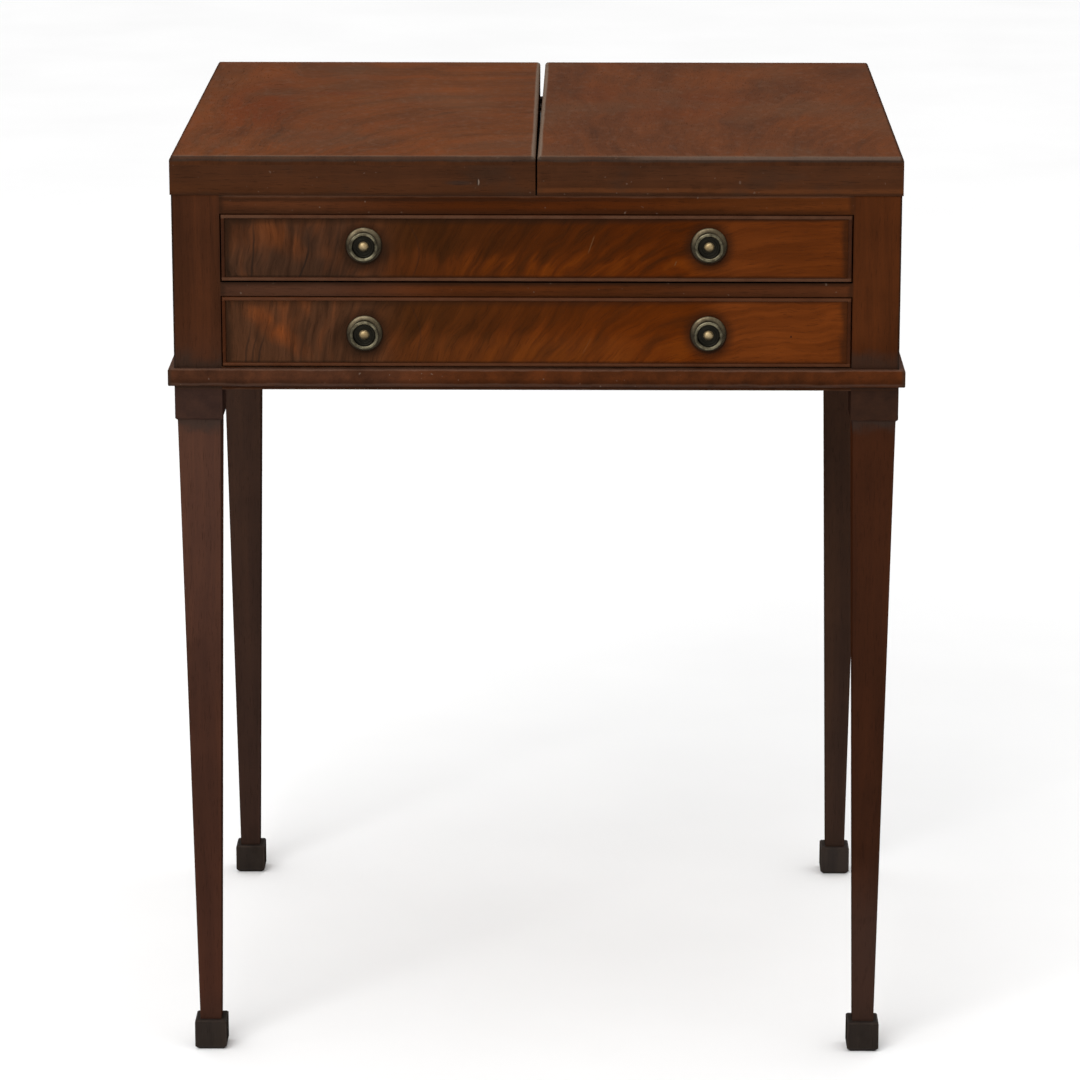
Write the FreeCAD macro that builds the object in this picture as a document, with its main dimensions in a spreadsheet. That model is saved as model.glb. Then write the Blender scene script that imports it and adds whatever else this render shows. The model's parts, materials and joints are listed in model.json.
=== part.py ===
import FreeCAD, Part
import math
import os
import Sketcher
from FreeCAD import Placement, Rotation, Vector

# Enclosed dressing table: a low case with two cockbeaded drawers on square tapered legs,
# closed by two lids that meet in the middle and hinge at the ends of the case.
# Millimetres. +Z is up, the front faces -Y, and the origin lies on the floor
# under the middle of the whole table, knobs included.

doc = FreeCAD.newDocument("DressingTable")
sheet = doc.addObject("Spreadsheet::Sheet", "Sizes")

SIZES = (
    # the case
    ("case_width", 618.0, "outside width over the posts"),
    ("case_depth", 539.0, "outside depth over the posts"),
    ("case_base", 601.0, "floor to the underside of the case"),
    ("case_height", 168.0, "underside to top edge of the case"),
    ("post", 40.6, "square section of a leg inside the case"),
    ("panel_thickness", 14.0, "side and back panels"),
    ("tongue_length", 8.0, "panel tongue let into a post"),
    ("tongue_thickness", 6.0, "panel tongue"),
    ("tongue_shoulder", 12.0, "tongue and tenon ends stop short of the panel edge"),
    # legs, collars and feet
    ("leg_inset", 2.0, "leg face behind the post face, filled by the collar"),
    ("leg_top", 36.6, "square section of the leg under the case"),
    ("ankle", 18.5, "square section of the leg above the foot"),
    ("collar_height", 27.0, "applied band at the top of the leg"),
    ("collar_bevel", 1.6, "bevel along the collar's lower edge"),
    ("foot_width", 27.8, "block foot"),
    ("foot_height", 27.3, "block foot"),
    ("foot_bevel", 1.5, "bevel round the top of the foot"),
    ("foot_chamfer", 3.2, "chamfer round the bottom of the foot"),
    ("foot_socket", 18.0, "depth that the ankle enters the foot"),
    # the front of the case, from the bottom up
    ("bottom_rail", 19.7, "height of the rail under the lower drawer"),
    ("lower_opening", 61.5, "height of the lower drawer opening"),
    ("mid_rail", 11.8, "height of the rail between the drawers"),
    ("upper_opening", 59.1, "height of the upper drawer opening"),
    ("frieze_depth", 18.8, "rail over the upper drawer, front to back"),
    ("tenon_length", 12.0, "rail tenon let into a post"),
    ("tenon_share", 0.5, "tenon as a share of the rail's own depth"),
    ("shoulder_share", 0.2, "tenon shoulder as a share of the rail's height"),
    ("mould_height", 15.0, "base moulding"),
    ("mould_reach", 5.2, "base moulding proud of the case"),
    ("mould_rise", 3.6, "base moulding above the underside of the case"),
    ("mould_round", 1.5, "rounded edges of the base moulding"),
    # runners and stops
    ("runner_width", 10.0, "runner under a drawer side"),
    ("stop_width", 30.0, "drawer stop"),
    ("stop_height", 6.0, "drawer stop"),
    ("stop_thickness", 12.0, "drawer stop"),
    ("stop_spread", 300.0, "distance between the two stops of a drawer"),
    ("stop_gap", 0.3, "what is left where a drawer or lid meets its stop"),
    # drawers
    ("front_thickness", 18.0, "drawer front"),
    ("side_thickness", 9.0, "drawer side"),
    ("back_thickness", 9.0, "drawer back"),
    ("bottom_thickness", 5.0, "drawer bottom"),
    ("bottom_rise", 8.0, "drawer bottom above the lower edge of the sides"),
    ("groove_depth", 4.0, "groove that holds the drawer bottom"),
    ("groove_play", 0.2, "play of the bottom in its grooves"),
    ("drawer_back_gap", 25.0, "between a drawer and the back panel"),
    ("run_gap", 0.3, "running gap under the drawer sides"),
    ("top_gap", 0.7, "gap over a drawer front"),
    ("upper_side_gap", 1.2, "gap at each end of the upper drawer"),
    ("lower_side_gap", 1.0, "gap at each end of the lower drawer"),
    ("upper_bottom_gap", 1.5, "gap under the upper drawer front"),
    ("lower_bottom_gap", 0.8, "gap under the lower drawer front"),
    ("upper_side_height", 44.0, "sides of the upper drawer, under the well"),
    ("lower_side_height", 57.0, "sides of the lower drawer"),
    ("tail_length", 6.5, "lapped dovetails at the drawer front"),
    ("tail_share", 0.28, "half a dovetail's neck as a share of the pitch"),
    ("slope_share", 0.17, "dovetail slope, sideways per length"),
    ("bead_width", 3.2, "cockbead seen from the front"),
    ("bead_depth", 10.0, "cockbead let into the edge of the front"),
    ("bead_proud", 1.8, "cockbead proud of the front"),
    ("bead_round", 1.3, "rounded edges of the cockbead"),
    # brass knobs
    ("knob_spread", 292.4, "distance between the two knobs of a drawer"),
    ("upper_knob_rise", 32.4, "upper knobs above the bottom of their opening"),
    ("lower_knob_rise", 29.6, "lower knobs above the bottom of their opening"),
    ("plate_radius", 15.2, "back plate"),
    ("plate_thickness", 1.0, "back plate"),
    ("plate_bead", 2.3, "raised edge of the back plate"),
    ("plate_bead_height", 1.0, "raised edge above the back plate"),
    ("knob_radius", 12.3, "dished head"),
    ("knob_rim", 2.6, "width of the rim round the dish"),
    ("rim_height", 1.3, "crown of the rim"),
    ("knob_foot", 5.5, "radius where the neck meets the back plate"),
    ("knob_neck", 4.0, "radius of the neck"),
    ("neck_flare", 1.6, "height over which the neck widens at each end"),
    ("head_back", 9.2, "radius of the head's back"),
    ("neck_length", 5.6, "neck from the back plate to the head"),
    ("head_thickness", 4.0, "head behind the rim"),
    ("dish_depth", 2.6, "dish below the rim"),
    ("boss_radius", 4.0, "button in the middle of the dish"),
    ("boss_height", 2.6, "button above the dish"),
    ("stem_radius", 2.0, "stem in the drawer front"),
    ("stem_length", 13.0, "stem in the drawer front"),
    # lids
    ("lid_gap", 0.3, "between the case and the closed lids"),
    ("lid_overhang", 1.0, "lids proud of the case all round"),
    ("board_thickness", 7.0, "top board of a lid"),
    ("board_round", 3.6, "rounded upper edge of a lid"),
    ("lid_rail_height", 25.7, "frame under the board"),
    ("lid_rail_width", 24.0, "frame under the board"),
    ("meeting_gap_front", 1.6, "between the two lids at the front"),
    ("meeting_gap_back", 4.6, "between the two lids at the back"),
    # lid hinges
    ("hinge_end", 100.0, "end of the case to the middle of a hinge"),
    ("hinge_length", 40.0, "butt hinge"),
    ("leaf_width", 11.0, "hinge leaf beside the knuckles"),
    ("leaf_thickness", 1.5, "hinge leaf"),
    ("knuckle_radius", 2.5, "hinge knuckles"),
    ("knuckle_gap", 0.2, "between two knuckles"),
    ("knuckle_room", 0.4, "wood cut clear of the knuckles"),
    ("pin_radius", 1.2, "hinge pin"),
    ("pin_play", 0.05, "pin in its knuckles"),
    # the well under the lids
    ("well_depth", 23.7, "top of the case down to the floor of the well"),
    ("floor_thickness", 6.0, "floor of the well"),
    ("well_rail", 9.0, "rail behind the frieze that closes the well"),
    ("divider_drop", 1.0, "dividers below the top of the case"),
    ("divider_thickness", 6.0, "dividers of the well"),
    ("bay_width", 250.0, "middle bay of the well"),
    ("mirror_bay", 318.0, "length of the mirror's place in the middle bay"),
    ("front_cell_share", 0.30, "front end cells as a share of the well's length"),
    ("back_cell_share", 0.36, "back end cells as a share of the well's length"),
    # the mirror, folded flat in the middle bay
    ("mirror_gap", 3.0, "round the mirror frame"),
    ("mirror_lift", 8.0, "mirror frame above the floor of the well"),
    ("mirror_frame_width", 20.0, "frame seen from above"),
    ("mirror_frame_height", 12.0, "frame"),
    ("mirror_lip", 3.0, "height of the lip over the glass"),
    ("mirror_rebate", 6.0, "width of the rebate that holds the glass"),
    ("glass_thickness", 3.0, "mirror plate"),
    ("mirror_back_thickness", 4.0, "board behind the glass"),
    ("pivot_inset", 12.0, "mirror pivot behind the front end of its frame"),
    ("pivot_radius", 2.0, "mirror pivot pin"),
    ("pivot_length", 14.0, "mirror pivot pin"),
    ("pivot_play", 0.1, "pivot pin in its holes"),
    ("strut_width", 90.0, "easel strut"),
    ("strut_margin", 28.0, "foot of the folded strut before the end of the mirror frame"),
    ("strut_thickness", 4.0, "easel strut"),
    ("foot_bar_radius", 2.2, "bar at the foot of the strut"),
    ("foot_bar_length", 150.0, "bar at the foot of the strut"),
    ("ear_thickness", 4.0, "ears that hold the strut's pin"),
    ("ear_length", 12.0, "ears that hold the strut's pin"),
    ("ear_gap", 0.4, "between the ears and the strut"),
    ("strut_pin_radius", 1.2, "pin of the strut"),
    ("ratchet_width", 10.0, "toothed strip on the floor of the well"),
    ("ratchet_height", 5.0, "toothed strip"),
    ("tooth_depth", 3.0, "teeth of a strip"),
)

# How often the small forms repeat
TAIL_COUNT = 3
KNUCKLE_COUNT = 3
TOOTH_COUNT = 9
RIM_FLAT_COUNT = 4
BEAD_FLAT_COUNT = 3
BUTTON_FLAT_COUNT = 2

# Two places count as one when they lie closer than this
SAME_PLACE = 0.01

QUARTER_DEGREES = 90


class Size:
    """A length with its value and the sheet expression that drives it."""

    def __init__(self, text, number):
        self.text = text
        self.number = number

    def joined(self, sign, other, number):
        return Size("(%s %s %s)" % (self.text, sign, text_of(other)), number)

    def __add__(self, other):
        return self.joined("+", other, self.number + number_of(other))

    def __sub__(self, other):
        return self.joined("-", other, self.number - number_of(other))

    def __mul__(self, other):
        return self.joined("*", other, self.number * number_of(other))

    def __truediv__(self, other):
        return self.joined("/", other, self.number / number_of(other))

    def __rmul__(self, other):
        return self * other

    def __neg__(self):
        return self * -1


def text_of(value):
    return value.text if isinstance(value, Size) else repr(value)


def number_of(value):
    return value.number if isinstance(value, Size) else value


class SheetSizes:
    """One attribute for each alias of the sheet."""


def fill_sheet():
    sizes = SheetSizes()
    for row, (alias, value, note) in enumerate(SIZES, start=1):
        sheet.set("A%d" % row, alias)
        sheet.set("B%d" % row, str(value))
        sheet.set("C%d" % row, note)
        sheet.setAlias("B%d" % row, alias)
    doc.recompute()
    for alias, _, _ in SIZES:
        setattr(sizes, alias, Size("Sizes." + alias, float(sheet.get(alias))))
    return sizes


size = fill_sheet()
ZERO = size.case_width * 0

# Places that several pieces share
half_width = size.case_width / 2
half_depth = size.case_depth / 2
case_top = size.case_base + size.case_height
knob_reach = size.plate_thickness + size.neck_length + size.head_thickness
front = (knob_reach - size.case_depth - size.lid_overhang) / 2
middle_y = front + half_depth
lower_floor = size.case_base + size.bottom_rail
mid_rail_base = lower_floor + size.lower_opening
upper_floor = mid_rail_base + size.mid_rail
frieze_base = upper_floor + size.upper_opening
frieze_height = case_top - frieze_base
collar_base = size.case_base - size.collar_height
leg_middle = size.leg_inset + size.leg_top / 2
rail_span = size.case_width - size.post * 2
side_span = size.case_depth - size.post * 2
drawer_length = size.case_depth - size.panel_thickness - size.drawer_back_gap
well_floor_top = case_top - size.well_depth
well_floor_base = well_floor_top - size.floor_thickness
inner_width = half_width - size.panel_thickness
well_front = -half_depth + size.frieze_depth + size.well_rail
well_back = half_depth - size.panel_thickness
lid_base = case_top + size.lid_gap
lid_end = half_width + size.lid_overhang
pin_x = (lid_end + half_width + size.stop_gap) / 2
pin_z = case_top + size.lid_gap / 2
knuckle_clear = size.knuckle_radius + size.knuckle_room
knuckle_depth = knuckle_clear - size.lid_gap / 2
hinge_places = (-half_depth + size.hinge_end, half_depth - size.hinge_end)


# Helpers that make features whose sizes follow the sheet
def bind(item, name, value):
    if isinstance(value, Size):
        item.setExpression(name, value.text)
    else:
        item.setExpression(name, repr(value))


def place(item, x, y, z, rotation=None):
    if rotation is not None:
        item.Placement = Placement(Vector(), rotation)
    bind(item, "Placement.Base.x", x)
    bind(item, "Placement.Base.y", y)
    bind(item, "Placement.Base.z", z)


def turned(quarters):
    """Turns about Z by so many quarter turns."""
    return Rotation(Vector(0, 0, 1), QUARTER_DEGREES * quarters)


# Local +Z becomes the direction out of the front of the case
FACING_FRONT = Rotation(Vector(1, 0, 0), QUARTER_DEGREES)

# name, quarter turns that bring the right end's forms here, sign of x
SIDES = (("left", 2, -1), ("right", 0, 1))


def new_body(name, x=0, y=0, z=0, rotation=None):
    body = doc.addObject("PartDesign::Body", name)
    place(body, x, y, z, rotation)
    return body


def block(body, kind, name, corner, sizes):
    """An added or cut box, from its low corner."""
    box = body.newObject("PartDesign::%sBox" % kind, name)
    for prop, value in zip(("Length", "Width", "Height"), sizes):
        bind(box, prop, value)
    place(box, *corner)
    return box


def add_block(body, name, corner, sizes):
    return block(body, "Additive", name, corner, sizes)


def cut_block(body, name, corner, sizes):
    return block(body, "Subtractive", name, corner, sizes)


def rod(body, kind, name, centre, radius, length, axis):
    """An added or cut cylinder that starts at centre and runs along axis."""
    cylinder = body.newObject("PartDesign::%sCylinder" % kind, name)
    bind(cylinder, "Radius", radius)
    bind(cylinder, "Height", length)
    place(cylinder, *centre, Rotation(Vector(0, 0, 1), Vector(*axis)))
    return cylinder


def origin_plane(body, role):
    return [item for item in body.Origin.OriginFeatures if item.Role == role][0]


def new_sketch(body, name, role, offset=0):
    sketch = body.newObject("Sketcher::SketchObject", name)
    sketch.AttachmentSupport = [(origin_plane(body, role), "")]
    sketch.MapMode = "FlatFace"
    bind(sketch, "AttachmentOffset.Base.z", offset)
    return sketch


def draw(sketch, points):
    """A closed outline of straight lines through points."""
    spots = [Vector(number_of(x), number_of(y), 0) for x, y in points]
    lines = [sketch.addGeometry(Part.LineSegment(spot, after), False)
             for spot, after in zip(spots, spots[1:] + spots[:1])]
    for line, after, point in zip(lines, lines[1:] + lines[:1], points):
        sketch.addConstraint(Sketcher.Constraint("Coincident", line, 2, after, 1))
        hold_point(sketch, line, point)


def hold_point(sketch, line, point):
    """Ties the start of a line to the sheet, or to an axis where its distance is zero."""
    for value, kind, axis in ((point[0], "DistanceX", -2), (point[1], "DistanceY", -1)):
        if not isinstance(value, Size):
            sketch.addConstraint(Sketcher.Constraint("PointOnObject", line, 1, axis))
            continue
        constraint = Sketcher.Constraint(kind, -1, 1, line, 1, value.number)
        number = sketch.addConstraint(constraint)
        bind(sketch, "Constraints[%d]" % number, value)


def pad(body, name, sketch, length, backward=False):
    feature = body.newObject("PartDesign::Pad", name)
    feature.Profile = sketch
    feature.Reversed = backward
    bind(feature, "Length", length)
    return feature


def pocket(body, name, sketch, length, forward=False):
    """Cuts against the sketch's normal, or along it if forward."""
    doc.recompute()
    before = body.Shape.Volume
    feature = body.newObject("PartDesign::Pocket", name)
    feature.Profile = sketch
    feature.Reversed = forward
    bind(feature, "Length", length)
    doc.recompute()
    if body.Shape.Volume >= before:
        raise ValueError("%s cuts nothing" % feature.Label)
    return feature


def revolve(body, name, sketch):
    feature = body.newObject("PartDesign::Revolution", name)
    feature.Profile = sketch
    feature.ReferenceAxis = (sketch, ["V_Axis"])
    return feature


def edges_where(shape, test):
    """Names of the straight edges whose two ends both pass the test."""
    names = []
    for number, edge in enumerate(shape.Edges, start=1):
        ends = [vertex.Point for vertex in edge.Vertexes]
        if len(ends) == 2 and all(test(point) for point in ends):
            names.append("Edge%d" % number)
    return names


def near(value, target):
    return abs(value - number_of(target)) < SAME_PLACE


def dress(body, kind, name, amount, test):
    """A fillet or chamfer on the edges of the body that pass the test."""
    doc.recompute()
    base = body.Tip
    names = edges_where(base.Shape, test)
    if not names:
        raise ValueError("%s finds no edge" % name)
    feature = body.newObject("PartDesign::%s" % kind, name)
    feature.Base = (base, names)
    bind(feature, "Radius" if kind == "Fillet" else "Size", amount)
    return feature


nodes = []


def keep(item, name):
    """Counts one finished sub-part and names its file."""
    item.Label = name
    nodes.append(item)
    return item


def group(name, pieces):
    """Several like pieces that share one node, each its own solid."""
    together = doc.addObject("Part::Compound", name)
    together.Links = pieces
    return keep(together, name)


# Strips with mitred ends, which make collars, mouldings, cockbeads and frames
def mitred_strip(name, long_side, width, height, square_end=None):
    """A strip along local X, its long face at y = 0; the left or right end may be square."""
    body = doc.addObject("PartDesign::Body", name)
    sketch = new_sketch(body, name + "_plan", "XY_Plane")
    left = -long_side / 2
    right = long_side / 2
    inner_left = left if square_end == "left" else left + width
    inner_right = right if square_end == "right" else right - width
    draw(sketch, [(left, 0), (right, 0), (inner_right, width), (inner_left, width)])
    pad(body, name + "_pad", sketch, height)
    return body


def ring_of_strips(name, long_x, long_y, width, height, finish):
    """Four mitred strips round a rectangle centred on the origin."""
    strips = []
    half_x = long_x / 2
    half_y = long_y / 2
    sides = ((long_x, ZERO, -half_y), (long_y, half_x, ZERO),
             (long_x, ZERO, half_y), (long_y, -half_x, ZERO))
    for quarters, (length, x, y) in enumerate(sides):
        strip = mitred_strip("%s_strip_%d" % (name, quarters), length, width, height)
        finish(strip)
        place(strip, x, y, ZERO, turned(quarters))
        strips.append(strip)
    return strips


def ring_part(name, strips, x, y, z, rotation=None):
    ring = doc.addObject("Part::Compound", name)
    ring.Links = strips
    place(ring, x, y, z, rotation)
    return ring


# The case
def swapped(across, triple):
    """Exchanges x and y on the legs where the rails come in from the other side."""
    return (triple[1], triple[0], triple[2]) if across else triple


CORNERS = (
    # name, sign of x, sign of y, quarter turns about Z, x and y exchanged
    ("front_left", -1, -1, 0, False),
    ("front_right", 1, -1, 1, True),
    ("rear_right", 1, 1, 2, False),
    ("rear_left", -1, 1, 3, True),
)

RAILS = (
    # name, lower edge, height, depth front to back
    ("bottom_rail", size.case_base, size.bottom_rail, size.post),
    ("mid_rail", mid_rail_base, size.mid_rail, size.post),
    ("frieze_rail", frieze_base, frieze_height, size.frieze_depth),
)


def rail_tenon(height, depth):
    """Inset from the face, thickness, shoulder and height of a rail's tenon."""
    thickness = depth * size.tenon_share
    inset = (depth - thickness) / 2
    shoulder = height * size.shoulder_share
    return inset, thickness, shoulder, height - shoulder * 2


def add_taper(body):
    """The tapered part of a leg; the wedge's own Y runs up the leg."""
    wedge = body.newObject("PartDesign::AdditiveWedge", "taper")
    place(wedge, ZERO, ZERO, ZERO, Rotation(Vector(1, 0, 0), QUARTER_DEGREES))
    bind(wedge, "Ymin", size.foot_height)
    bind(wedge, "Ymax", collar_base)
    for level, width in (("", size.ankle), ("2", size.leg_top)):
        bind(wedge, "X%smin" % level, leg_middle - width / 2)
        bind(wedge, "X%smax" % level, leg_middle + width / 2)
        bind(wedge, "Z%smin" % level, -leg_middle - width / 2)
        bind(wedge, "Z%smax" % level, -leg_middle + width / 2)


def make_leg(name, sign_x, sign_y, turn, across):
    """A leg in one piece from its ankle tenon to the top of the case."""
    body = new_body("leg_" + name, half_width * sign_x, middle_y + half_depth * sign_y,
                    ZERO, turned(turn))
    add_taper(body)
    add_block(body, "stump", (size.leg_inset, size.leg_inset, collar_base),
              (size.leg_top, size.leg_top, size.collar_height))
    add_block(body, "post", (ZERO, ZERO, size.case_base),
              (size.post, size.post, size.case_height))
    ankle_low = leg_middle - size.ankle / 2
    add_block(body, "ankle_tenon", (ankle_low, ankle_low, size.foot_height - size.foot_socket),
              (size.ankle, size.ankle, size.foot_socket))
    groove_base = size.case_base + size.tongue_shoulder
    groove_height = size.case_height - size.tongue_shoulder * 2
    tongue_inset = (size.panel_thickness - size.tongue_thickness) / 2
    groove_start = size.post - size.tongue_length
    cut_block(body, "side_groove", swapped(across, (tongue_inset, groove_start, groove_base)),
              swapped(across, (size.tongue_thickness, size.tongue_length, groove_height)))
    if sign_y > 0:
        cut_block(body, "back_groove", swapped(across, (groove_start, tongue_inset, groove_base)),
                  swapped(across, (size.tongue_length, size.tongue_thickness, groove_height)))
    else:
        for rail, base, height, depth in RAILS:
            inset, thickness, shoulder, tenon_height = rail_tenon(height, depth)
            start = size.post - size.tenon_length
            cut_block(body, rail + "_mortise", swapped(across, (start, inset, base + shoulder)),
                      swapped(across, (size.tenon_length, thickness, tenon_height)))
    keep(body, "leg_" + name)


def make_collar(name, sign_x, sign_y):
    """A mitred band round the top of one leg, flush with the case above."""
    def bevel(strip):
        dress(strip, "Chamfer", "bevel", size.collar_bevel,
              lambda p: near(p.z, 0) and near(p.y, 0))

    outer = size.leg_top + size.leg_inset * 2
    strips = ring_of_strips("collar_" + name, outer, outer, size.leg_inset,
                            size.collar_height, bevel)
    return ring_part("collar_" + name, strips, (half_width - leg_middle) * sign_x,
                     middle_y + (half_depth - leg_middle) * sign_y, collar_base)


def make_foot(name, sign_x, sign_y):
    """A block foot with the ankle let into it."""
    body = new_body("foot_" + name, (half_width - leg_middle) * sign_x,
                    middle_y + (half_depth - leg_middle) * sign_y, ZERO)
    low = -size.foot_width / 2
    add_block(body, "foot_block", (low, low, ZERO),
              (size.foot_width, size.foot_width, size.foot_height))
    dress(body, "Chamfer", "foot_bevel", size.foot_bevel, lambda p: near(p.z, size.foot_height))
    dress(body, "Chamfer", "foot_chamfer", size.foot_chamfer, lambda p: near(p.z, 0))
    socket_low = -size.ankle / 2
    cut_block(body, "foot_socket", (socket_low, socket_low, size.foot_height - size.foot_socket),
              (size.ankle, size.ankle, size.foot_socket))
    keep(body, "foot_" + name)


def make_panel(name, turn, reach, span, hinged):
    """A side or the back, flush with the posts and tongued into them."""
    body = new_body(name, ZERO, middle_y, ZERO, turned(turn))
    inner = reach - size.panel_thickness
    add_block(body, name + "_board", (inner, -span / 2, size.case_base),
              (size.panel_thickness, span, size.case_height))
    tongue_inset = (size.panel_thickness - size.tongue_thickness) / 2
    for end, start in (("front", -span / 2 - size.tongue_length), ("back", span / 2)):
        add_block(body, "%s_%s_tongue" % (name, end),
                  (inner + tongue_inset, start, size.case_base + size.tongue_shoulder),
                  (size.tongue_thickness, size.tongue_length,
                   size.case_height - size.tongue_shoulder * 2))
    if hinged:
        let_in_hinges(body, case_top - size.leaf_thickness, case_top - knuckle_depth)
    keep(body, name)


def let_in_hinges(body, leaf_base, knuckle_base):
    """Cuts the seats of two hinge leaves and of their knuckles."""
    leaf_x = pin_x - knuckle_clear - size.leaf_width
    for index, y in enumerate(hinge_places, start=1):
        low_y = y - size.hinge_length / 2
        cut_block(body, "leaf_seat_%d" % index, (leaf_x, low_y, leaf_base),
                  (size.leaf_width + knuckle_clear, size.hinge_length, size.leaf_thickness))
        cut_block(body, "knuckle_seat_%d" % index, (pin_x - knuckle_clear, low_y, knuckle_base),
                  (knuckle_clear * 2, size.hinge_length, knuckle_depth))


def make_rail(name, base, height, depth):
    """A front rail tenoned into the two front posts."""
    body = new_body(name, ZERO, front, base)
    add_block(body, name + "_bar", (-rail_span / 2, ZERO, ZERO), (rail_span, depth, height))
    inset, thickness, shoulder, tenon_height = rail_tenon(height, depth)
    for end, start in (("left", -rail_span / 2 - size.tenon_length), ("right", rail_span / 2)):
        add_block(body, "%s_%s_tenon" % (name, end), (start, inset, shoulder),
                  (size.tenon_length, thickness, tenon_height))
    keep(body, name)


def make_base_moulding():
    """Front and side lengths, mitred at the two front corners and square at the back."""
    reach = size.mould_reach
    base = size.case_base + size.mould_rise
    side_length = size.case_depth + reach
    side_middle = middle_y - reach / 2
    lengths = (
        ("front", size.case_width + reach * 2, None, ZERO, front - reach, 0),
        ("right", side_length, "right", half_width + reach, side_middle, 1),
        ("left", side_length, "left", -half_width - reach, side_middle, 3),
    )
    strips = []
    for side, length, square_end, x, y, turn in lengths:
        strip = mitred_strip("moulding_" + side, length, reach, size.mould_height, square_end)
        for edge, level in (("upper", size.mould_height), ("lower", ZERO)):
            dress(strip, "Fillet", edge + "_round", size.mould_round,
                  lambda p, level=level: near(p.z, level) and near(p.y, 0))
        place(strip, x, y, base, turned(turn))
        strips.append(strip)
    group("base_moulding", strips)


def make_runner(name, turn, floor, guide_top):
    """Bears the drawer's side and guides it, fixed along the side panel."""
    body = new_body(name, ZERO, middle_y, ZERO, turned(turn))
    opening = rail_span / 2
    bearing = opening - size.runner_width
    add_block(body, name + "_bearing", (bearing, -side_span / 2, floor - size.mid_rail),
              (inner_width - bearing, side_span, size.mid_rail))
    add_block(body, name + "_guide", (opening, -side_span / 2, floor),
              (inner_width - opening, side_span, guide_top - floor))
    keep(body, name)


def make_drawer_stops():
    """Two blocks behind each drawer front, on the rail below it."""
    blocks = []
    for level, floor in (("lower", lower_floor), ("upper", upper_floor)):
        for side, _, sign in SIDES:
            body = new_body("%s_%s_stop" % (level, side), size.stop_spread * sign / 2,
                            front + size.front_thickness + size.stop_gap, floor)
            add_block(body, "stop_block", (-size.stop_width / 2, ZERO, ZERO),
                      (size.stop_width, size.stop_thickness, size.stop_height))
            blocks.append(body)
    group("drawer_stops", blocks)


# The well under the lids
def make_well_rail():
    body = new_body("well_front_rail", ZERO, front + size.frieze_depth, well_floor_base)
    add_block(body, "well_bar", (-rail_span / 2, ZERO, ZERO),
              (rail_span, size.well_rail, case_top - well_floor_base))
    keep(body, "well_front_rail")


def make_well_floor():
    """Lies on the guides, notched round the four posts."""
    body = new_body("well_floor", ZERO, middle_y, well_floor_base)
    add_block(body, "floor_board", (-inner_width, well_front, ZERO),
              (inner_width * 2, well_back - well_front, size.floor_thickness))
    notch = inner_width - rail_span / 2
    for side, x in (("left", -inner_width), ("right", rail_span / 2)):
        front_notch = size.post - size.frieze_depth - size.well_rail
        cut_block(body, side + "_front_notch", (x, well_front, ZERO),
                  (notch, front_notch, size.floor_thickness))
        back_notch = size.post - size.panel_thickness
        cut_block(body, side + "_back_notch", (x, well_back - back_notch, ZERO),
                  (notch, back_notch, size.floor_thickness))
    keep(body, "well_floor")


divider_height = size.well_depth - size.divider_drop
well_length = well_back - well_front


def make_long_divider(name, sign):
    """Runs from front to back beside the middle bay and holds a mirror pivot."""
    edge = size.bay_width / 2
    start = edge if sign > 0 else -edge - size.divider_thickness
    body = new_body(name, ZERO, middle_y, well_floor_top)
    add_block(body, name + "_board", (start, well_front, ZERO),
              (size.divider_thickness, well_length, divider_height))
    rod(body, "Subtractive", name + "_pivot_hole",
        (start, mirror_pivot_y, mirror_pivot_z - well_floor_top),
        size.pivot_radius, size.divider_thickness, (1, 0, 0))
    keep(body, name)


def make_cross_dividers():
    """Two across each end of the well and one in front of the mirror."""
    pieces = []
    outer = size.bay_width / 2 + size.divider_thickness
    length = inner_width - outer
    crossings = (well_front + well_length * size.front_cell_share,
                 well_back - well_length * size.back_cell_share)
    for side, start in (("left", -inner_width), ("right", outer)):
        for number, y in enumerate(crossings, start=1):
            body = new_body("%s_cross_divider_%d" % (side, number), start, middle_y + y,
                            well_floor_top)
            add_block(body, "cross_board", (ZERO, ZERO, ZERO),
                      (length, size.divider_thickness, divider_height))
            pieces.append(body)
    body = new_body("tray_divider", -size.bay_width / 2,
                    middle_y + well_back - size.mirror_bay - size.divider_thickness,
                    well_floor_top)
    add_block(body, "tray_board", (ZERO, ZERO, ZERO),
              (size.bay_width, size.divider_thickness, divider_height))
    pieces.append(body)
    group("well_cross_dividers", pieces)


# The mirror, folded flat in the middle bay
mirror_width = size.bay_width - size.mirror_gap * 2
mirror_length = size.mirror_bay - size.mirror_gap * 2
mirror_middle_y = well_back - size.mirror_bay / 2
mirror_base = well_floor_top + size.mirror_lift
mirror_pivot_y = mirror_middle_y - mirror_length / 2 + size.pivot_inset
mirror_pivot_z = mirror_base + size.mirror_frame_height / 2
strut_length = (mirror_length - size.pivot_inset - size.strut_margin) / 2
strut_pin_y = mirror_pivot_y + strut_length
strut_middle_z = mirror_base - size.strut_thickness / 2 - size.ear_gap
backboard_base = (mirror_base + size.mirror_frame_height - size.mirror_lip
                  - size.glass_thickness - size.mirror_back_thickness)
sight_width = mirror_width - size.mirror_frame_width * 2
sight_length = mirror_length - size.mirror_frame_width * 2


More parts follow.
